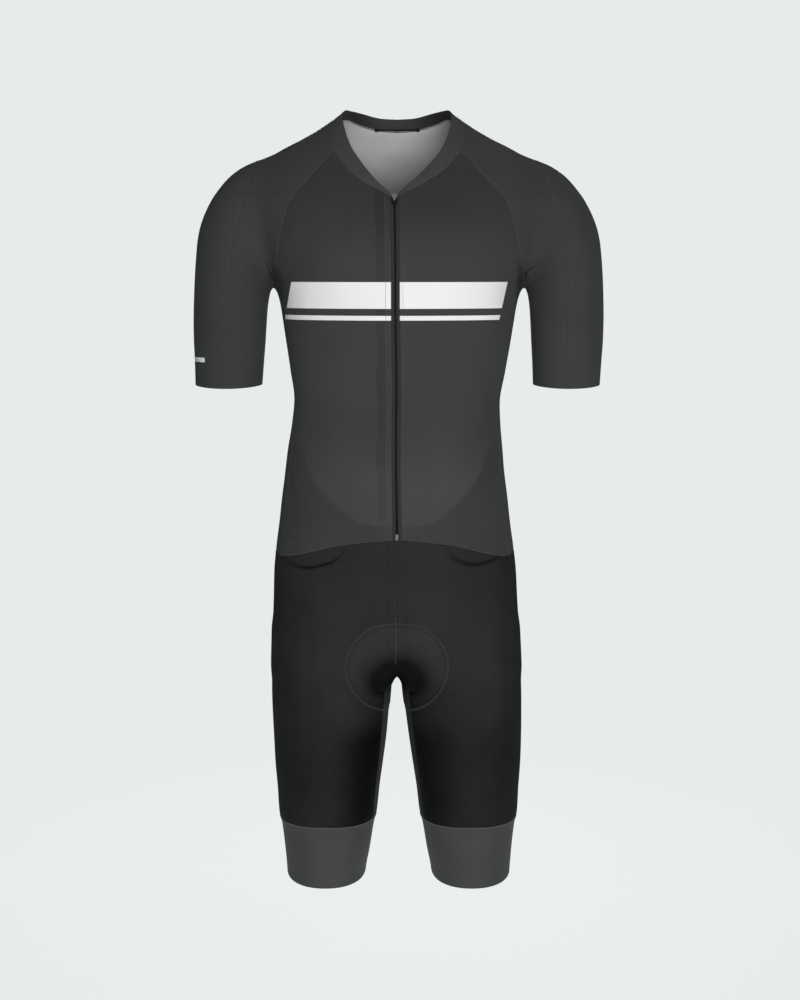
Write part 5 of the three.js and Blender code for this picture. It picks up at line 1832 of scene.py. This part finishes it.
def outline_plate(name, outline, back_y, thickness, bevel, material, holes=()):
    """A flat plate with rounded edges: an outline in X and Z, in millimetres, standing out towards -Y."""
    curve = bpy.data.curves.new(name, "CURVE")
    curve.dimensions = "2D"
    curve.fill_mode = "BOTH"
    for points in (outline, *holes):
        spline = curve.splines.new("POLY")
        spline.points.add(len(points) - 1)
        for point, (x, z) in zip(spline.points, points):
            point.co = (x * MM, z * MM, 0, 1)
        spline.use_cyclic_u = True
    curve.extrude = (thickness / 2 - bevel) * MM
    curve.bevel_depth = bevel * MM
    curve.bevel_resolution = 3
    curve.offset = -bevel * MM
    source = bpy.data.objects.new(f"{name}_outline", curve)
    bpy.context.scene.collection.objects.link(source)
    bpy.context.view_layer.update()
    mesh = bpy.data.meshes.new_from_object(source)
    bpy.data.objects.remove(source)
    bpy.data.curves.remove(curve)
    mesh.name = name
    middle_y = (back_y - thickness / 2) * MM
    upright = Matrix(((1, 0, 0, 0), (0, 0, -1, middle_y), (0, 1, 0, 0), (0, 0, 0, 1)))
    mesh.transform(upright)
    mesh.polygons.foreach_set("use_smooth", np.ones(len(mesh.polygons), dtype=bool))
    mesh.materials.clear()
    mesh.materials.append(material)
    return mesh


def rounded(points, radius, steps=5):
    """An outline with each corner rounded."""
    result = []
    points = [np.array(point, dtype=float) for point in points]
    for index, corner in enumerate(points):
        before = points[index - 1] - corner
        after = points[(index + 1) % len(points)] - corner
        reach = min(radius, 0.45 * np.linalg.norm(before), 0.45 * np.linalg.norm(after))
        start = corner + unit(before) * reach
        end = corner + unit(after) * reach
        for t in np.linspace(0, 1, steps):
            result.append(tuple((1 - t) ** 2 * start + 2 * t * (1 - t) * corner + t**2 * end))
    return result


def joined(name, meshes):
    """Joins meshes into one, each with its own materials."""
    vertices, faces, slots, smooth = [], [], [], []
    materials = []
    for mesh in meshes:
        offset = len(vertices)
        vertices += [tuple(vertex.co) for vertex in mesh.vertices]
        for polygon in mesh.polygons:
            faces.append([index + offset for index in polygon.vertices])
            material = mesh.materials[polygon.material_index]
            if material not in materials:
                materials.append(material)
            slots.append(materials.index(material))
            smooth.append(polygon.use_smooth)
        bpy.data.meshes.remove(mesh)
    result = bpy.data.meshes.new(name)
    result.from_pydata(vertices, [], faces)
    for material in materials:
        result.materials.append(material)
    result.polygons.foreach_set("material_index", slots)
    result.polygons.foreach_set("use_smooth", smooth)
    return result


def circle(radius, sides, centre=(0, 0)):
    turns = np.linspace(0, 2 * math.pi, sides + 1)[:-1]
    return [(centre[0] + radius * math.cos(turn), centre[1] + radius * math.sin(turn)) for turn in turns]


def both_halves(half, tip=None):
    """An outline from its right half, listed upwards, and a tip on the centre line."""
    other = [(-x, z) for x, z in reversed(half)]
    return [*half, *([tip] if tip else []), *other]


def slider_piece(materials, seat):
    """The slider: a waisted plate with a raised rib, and the bail that holds the pull tab."""
    metal = materials["metal"]
    half_body = (
        (SLIDER_BOTTOM_HALF_WIDTH, -SLIDER_HALF_LENGTH),
        (SLIDER_TOP_HALF_WIDTH, SLIDER_SHOULDER_Z),
        (SLIDER_NECK_WIDTH_SHARE * SLIDER_TOP_HALF_WIDTH, SLIDER_NECK_HEIGHT_SHARE * SLIDER_HALF_LENGTH),
    )
    body = rounded(both_halves(half_body, (0, SLIDER_HALF_LENGTH)), radius=1.3)
    body_plate = outline_plate("slider_body", body, 0, SLIDER_THICKNESS, 0.35, metal)
    half_rib = (
        (SLIDER_RIB_BOTTOM_HALF_WIDTH, SLIDER_RIB_INSET - SLIDER_HALF_LENGTH),
        (SLIDER_RIB_TOP_HALF_WIDTH, SLIDER_RIB_SHOULDER_Z),
    )
    rib = rounded(both_halves(half_rib, (0, SLIDER_HALF_LENGTH - SLIDER_RIB_INSET)), radius=1.0)
    rib_plate = outline_plate("slider_rib", rib, 0.2 - SLIDER_THICKNESS, 0.55, 0.2, metal)
    low_y, high_y = HINGE_Y - BAIL_REACH, 0.1 - SLIDER_THICKNESS
    low_z, high_z = HINGE_Z - BAIL_REACH, HINGE_Z + BAIL_REACH
    bail = rounded(((low_y, low_z), (high_y, low_z), (high_y, high_z), (low_y, high_z)), radius=1.4, steps=8)
    hole = circle(BAIL_HOLE_RADIUS, BAIL_HOLE_SIDES, (HINGE_Y, HINGE_Z))
    side = outline_plate("slider_bail", bail, BAIL_HALF_WIDTH, 2 * BAIL_HALF_WIDTH, 0.25, metal, [hole])
    side.transform(Matrix(((0, 1, 0, 0), (1, 0, 0, 0), (0, 0, 1, 0), (0, 0, 0, 1))))
    side.flip_normals()
    mesh = joined("slider_casting", [body_plate, rib_plate, side])
    mesh.transform(seat)
    add_object(mesh, SUIT, ["zip_slider"])


def pin_mesh(name, radius, half_length, material):
    """A round pin along X, with flat ends."""
    ring = circle(radius, PIN_SIDES)
    vertices = [(x * MM, y * MM, z * MM) for x in (-half_length, half_length) for y, z in ring]
    faces = []
    for k in range(PIN_SIDES):
        following = (k + 1) % PIN_SIDES
        faces.append((k, following, PIN_SIDES + following, PIN_SIDES + k))
    faces += [tuple(range(PIN_SIDES - 1, -1, -1)), tuple(range(PIN_SIDES, 2 * PIN_SIDES))]
    pin = bpy.data.meshes.new(name)
    pin.from_pydata(vertices, [], faces)
    pin.materials.append(material)
    return pin


def pull_piece(materials, seat):
    """The pull tab: two short arms on a pin, then a pointed tab with three raised ribs to grip."""
    plastic = materials["pull"]
    half_tab = (
        (PULL_TIP_HALF_WIDTH, -PULL_LENGTH),
        (PULL_HALF_WIDTH, -PULL_WAIST),
        (PULL_HALF_WIDTH, PULL_PIN_RADIUS),
        (PULL_WINDOW_HALF_WIDTH, PULL_PIN_RADIUS),
        (PULL_WINDOW_HALF_WIDTH, -PULL_WINDOW_DROP),
    )
    tab = rounded(both_halves(half_tab), radius=0.7)
    plates = [outline_plate("pull_tab_plate", tab, PULL_THICKNESS / 2, PULL_THICKNESS, 0.28, plastic)]
    for z in PULL_RIB_HEIGHTS:
        low, high = z - PULL_RIB_HALF_HEIGHT, z + PULL_RIB_HALF_HEIGHT
        rib = rounded(both_halves(((PULL_RIB_HALF_WIDTH, low), (PULL_RIB_HALF_WIDTH, high))), radius=0.3)
        plates.append(outline_plate("pull_tab_rib", rib, -0.5, 0.35, 0.12, plastic))
    plates.append(pin_mesh("pull_pin", PULL_PIN_RADIUS, PULL_PIN_HALF_LENGTH, plastic))
    mesh = joined("pull_tab_moulding", plates)
    tilt = Matrix.Rotation(math.radians(PULL_TILT), 4, "X")
    hinge = Matrix.Translation(Vector((0, HINGE_Y * MM, HINGE_Z * MM))) @ tilt
    mesh.transform(seat @ hinge)
    add_object(mesh, PULL_TAB, ["zip_pull"])


def stop_piece(materials, seat):
    """The bottom stop: a small staple over both zip edges."""
    metal = materials["stop"]
    half_plate = ((STOP_HALF_WIDTH, -STOP_HALF_HEIGHT), (STOP_HALF_WIDTH, STOP_HALF_HEIGHT))
    plate = rounded(both_halves(half_plate), radius=0.6)
    plates = [outline_plate("stop_plate", plate, 0, 1.0, 0.3, metal)]
    for z in STOP_BAR_HEIGHTS:
        low, high = z - STOP_BAR_HALF_HEIGHT, z + STOP_BAR_HALF_HEIGHT
        bar = rounded(both_halves(((STOP_HALF_WIDTH, low), (STOP_HALF_WIDTH, high))), radius=0.4)
        plates.append(outline_plate("stop_bar", bar, -0.9, 0.5, 0.2, metal))
    mesh = joined("zip_end_stop", plates)
    mesh.transform(seat)
    add_object(mesh, SUIT, ["zip_stop"])


def one_row(thread, line, offset=0.0, lift=no_lift, **sizes):
    """A row of stitches on both sides of the suit."""
    for sign, side in ((1, line), (-1, mirrored(line))):
        thread.row(side, offset=offset * sign, lift=lift, **sizes)


def flat_seam(thread, line):
    """A flat seam shows two rows of stitches, one each side of the join."""
    for side in (line, mirrored(line)):
        thread.row(side, offset=FLAT_SEAM_OFFSET)
        thread.row(side, offset=-FLAT_SEAM_OFFSET)


def raised(line, height):
    """A line that is moved up the figure."""
    return lay_on_figure(line + np.array([0, 0, height]))


def jersey_stitches(seams, materials):
    thread = Thread("jersey_stitches", materials["thread"], "jersey")
    for name in ("raglan_front", "raglan_back"):
        one_row(thread, seams[name], RAGLAN_OFFSET)
    for name in ("sleeve", "underarm"):
        one_row(thread, seams[name], SLEEVE_OFFSET)
    for offset in (SLEEVE_OFFSET, -SLEEVE_OFFSET):
        one_row(thread, seams["side"], offset, jersey_lift)
    one_row(thread, raised(seams["front_hem"], HEM_STITCH_RISE), 0, jersey_lift)
    one_row(thread, seams["waist_back"], WAIST_OFFSET)
    guard_line = zip_line(GUARD_STITCH_X, ZIP_STITCH_START_Z, NECK_POINT_Z, STITCH_LINE_CELLS)
    thread.zigzag(guard_line, pitch=2.2, reach=0.5, lift=jersey_lift)
    placket_line = zip_line(PLACKET_STITCH_X, ZIP_STITCH_START_Z, NECK_POINT_Z, STITCH_LINE_CELLS)
    thread.row(placket_line, lift=jersey_lift)
    hem_edge = raised(seams["front_hem"], HEM_EDGE_RISE)
    hem_edge = hem_edge[np.abs(hem_edge[:, 0]) > HEM_EDGE_FROM_X]
    one_row(thread, hem_edge, 0, jersey_lift, width=0.8, height=0.3, **FINE_ROW)
    thread.finish()


def shorts_stitches(seams, materials):
    thread = Thread("shorts_stitches", materials["dark_thread"], "shorts")
    for name in ("lower_side", "inner_front", "inner_back"):
        flat_seam(thread, seams[name])
    centre = seams["front_centre"]
    centre = centre[centre[:, 2] > PAD_TAPE_BOTTOM_Z]
    thread.row(centre, offset=FRONT_CENTRE_OFFSET, lift=underlap_lift)
    for offset in (BACK_CENTRE_OFFSET, -BACK_CENTRE_OFFSET):
        thread.row(seams["back_centre"], offset=offset)
    for guides in (UNDER_HEM_SEAM_LEFT, UNDER_HEM_SEAM_RIGHT):
        line = smooth_curve(guides, UNDER_HEM_SEAM_POINTS)
        thread.row(line, offset=UNDER_HEM_OFFSET, lift=underlap_lift)
    thread.finish()


def pad_stitches(seams, materials):
    """The seat pad's stitch line with its needle marks, and the tape on the front seam over the pad."""
    thread = Thread("pad_stitches", materials["pad_thread"], "shorts")
    marks = Thread("pad_needle_marks", materials["dark_thread"], "shorts")
    for sign, side in ((1, PAD_HALF), (-1, mirrored(PAD_HALF))):
        thread.zigzag(side, pitch=2.1, reach=1.3, width=0.5, height=0.35)
        thread.row(side, pitch=4.2, length=1.5, width=1.4, height=0.45, offset=-PAD_ROW_OFFSET * sign)
        marks.row(side, pitch=4.2, length=2.0, width=1.6, height=0.3, offset=PAD_MARK_OFFSET * sign)
    centre = seams["front_centre"]
    taped = centre[(centre[:, 2] > PAD_TAPE_BOTTOM_Z) & (centre[:, 2] < PAD_TAPE_TOP_Z)]
    thread.row(taped, width=1.2, height=0.3, offset=FRONT_CENTRE_OFFSET, **FINE_ROW)
    thread.finish()
    marks.finish()


def cuff_bindings(seams, materials):
    thread = Thread("cuff_bindings", materials["binding"], "band")
    top = join(seams["cuff_front"], seams["cuff_back"], seams["cuff_inner"])
    for side in (top, mirrored(top)):
        thread.row(side, width=1.5, height=0.5, **FINE_ROW)
    thread.finish()


def overlock_lift(points):
    return no_lift(points) - CLOTH_THICKNESS - OVERLOCK_SINK


def neck_overlock(seams, materials):
    """Pale overlock stitches inside the collar, over its seam at the back and sides of the neck."""
    thread = Thread("neck_overlock", materials["light_thread"], "jersey")
    half = join(seams["collar_sleeve_outer"], seams["collar_back"])
    whole = raised(np.concatenate([half, mirrored(half)[-2::-1]]), OVERLOCK_RISE)
    thread.zigzag(whole, pitch=2.1, reach=1.2, width=0.9, height=-0.4, lift=overlock_lift)
    thread.finish()


# Scene around the suit


def aimed(place, target):
    """The turn of a camera or light at a place that looks at a target."""
    return (Vector(target) - Vector(place)).to_track_quat("-Z", "Y").to_euler()


def add_camera():
    data = bpy.data.cameras.new("camera")
    data.lens = CAMERA_LENS
    data.sensor_width = CAMERA_SENSOR_WIDTH
    camera = bpy.data.objects.new("camera", data)
    bpy.context.scene.collection.objects.link(camera)
    camera.location = CAMERA_PLACE
    camera.rotation_euler = aimed(CAMERA_PLACE, CAMERA_TARGET)
    bpy.context.scene.camera = camera


def add_light(name, place, size, power):
    data = bpy.data.lights.new(name, "AREA")
    data.shape = "DISK"
    data.size = size
    data.energy = power
    light = bpy.data.objects.new(name, data)
    bpy.context.scene.collection.objects.link(light)
    light.location = place
    light.rotation_euler = aimed(place, LIGHT_TARGET)


def add_backdrop():
    """The camera sees the pale backdrop, and the suit is lit by a much dimmer one."""
    world = bpy.data.worlds.new("pale_studio")
    bpy.context.scene.world = world
    world.use_nodes = True
    tree = world.node_tree
    backdrop = tree.nodes["Background"]
    backdrop.inputs["Color"].default_value = BACKDROP_COLOR
    room = tree.nodes.new("ShaderNodeBackground")
    room.inputs["Color"].default_value = ROOM_LIGHT_COLOR
    room.inputs["Strength"].default_value = ROOM_LIGHT_STRENGTH
    path = tree.nodes.new("ShaderNodeLightPath")
    blend = tree.nodes.new("ShaderNodeMixShader")
    tree.links.new(path.outputs["Is Camera Ray"], blend.inputs[0])
    tree.links.new(room.outputs[0], blend.inputs[1])
    tree.links.new(backdrop.outputs[0], blend.inputs[2])
    tree.links.new(blend.outputs[0], tree.nodes["World Output"].inputs["Surface"])


def add_floor():
    mesh = bpy.data.meshes.new("studio_floor")
    rim = [(x, y, 0) for x, y in circle(FLOOR_RADIUS, FLOOR_SIDES)]
    mesh.from_pydata(rim, [], [tuple(range(FLOOR_SIDES))])
    mesh.materials.append(floor_material())
    floor = bpy.data.objects.new("studio_floor", mesh)
    bpy.context.scene.collection.objects.link(floor)
    floor.location.z = FLOOR_Z


def add_surroundings():
    add_backdrop()
    add_floor()
    for row in LIGHTS[1:]:
        add_light(*row)
    settings = bpy.context.scene.view_settings
    settings.view_transform = "Standard"
    settings.look = "None"


def build_jersey(seams, materials):
    jersey, sleeve, reverse = (materials[key] for key in ("jersey", "sleeve", "reverse"))
    front = jersey_front_rows(seams)
    both_sides("jersey_front", front, "jersey", jersey, reverse, lift=jersey_lift, tone=jersey_tone)
    back = jersey_back_rows(seams)
    shell("jersey_back", back, "jersey", sleeve, reverse, tone=armpit_painted_shade, inner_tone=inside_tone_and_shade)
    sleeve_front, sleeve_outer = sleeve_rows(seams)
    both_sides("sleeve_front", sleeve_front, "jersey", sleeve, reverse, tone=armpit_painted_shade)
    both_sides("sleeve_outer", sleeve_outer, "jersey", sleeve, reverse, tone=armpit_painted_shade)
    band = materials["band"]
    shell("collar", collar_rows(seams), "band", band, band, inner_tone=collar_tone)


def build_shorts(seams, materials):
    front, back, inner_thigh = shorts_rows(seams)
    shorts, reverse = materials["shorts"], materials["shorts_reverse"]
    tones = {"tone": shorts_tone, "inner_tone": crotch_painted_shade}
    both_sides("shorts_front", front, "shorts", shorts, reverse, lift=underlap_lift, **tones)
    both_sides("shorts_back", back, "shorts", shorts, reverse, **tones)
    tones = {"tone": crotch_painted_shade, "inner_tone": crotch_painted_shade}
    both_sides("inner_thigh", inner_thigh, "panel", materials["inner"], reverse, **tones)
    both_sides("leg_cuff", cuff_rows(seams), "band", materials["band"], reverse)


def build_zip(materials):
    zip_pieces(materials)
    zip_teeth(materials)
    slider_seat = front_seat(SLIDER_Z)
    slider_piece(materials, slider_seat)
    pull_piece(materials, slider_seat)
    stop_piece(materials, front_seat(STOP_Z))


def main():
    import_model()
    add_camera()
    add_surroundings()
    materials = build_materials()
    seams = build_seams()
    build_jersey(seams, materials)
    build_shorts(seams, materials)
    neck_tape(materials)
    build_zip(materials)
    jersey_stitches(seams, materials)
    shorts_stitches(seams, materials)
    pad_stitches(seams, materials)
    cuff_bindings(seams, materials)
    neck_overlock(seams, materials)


main()
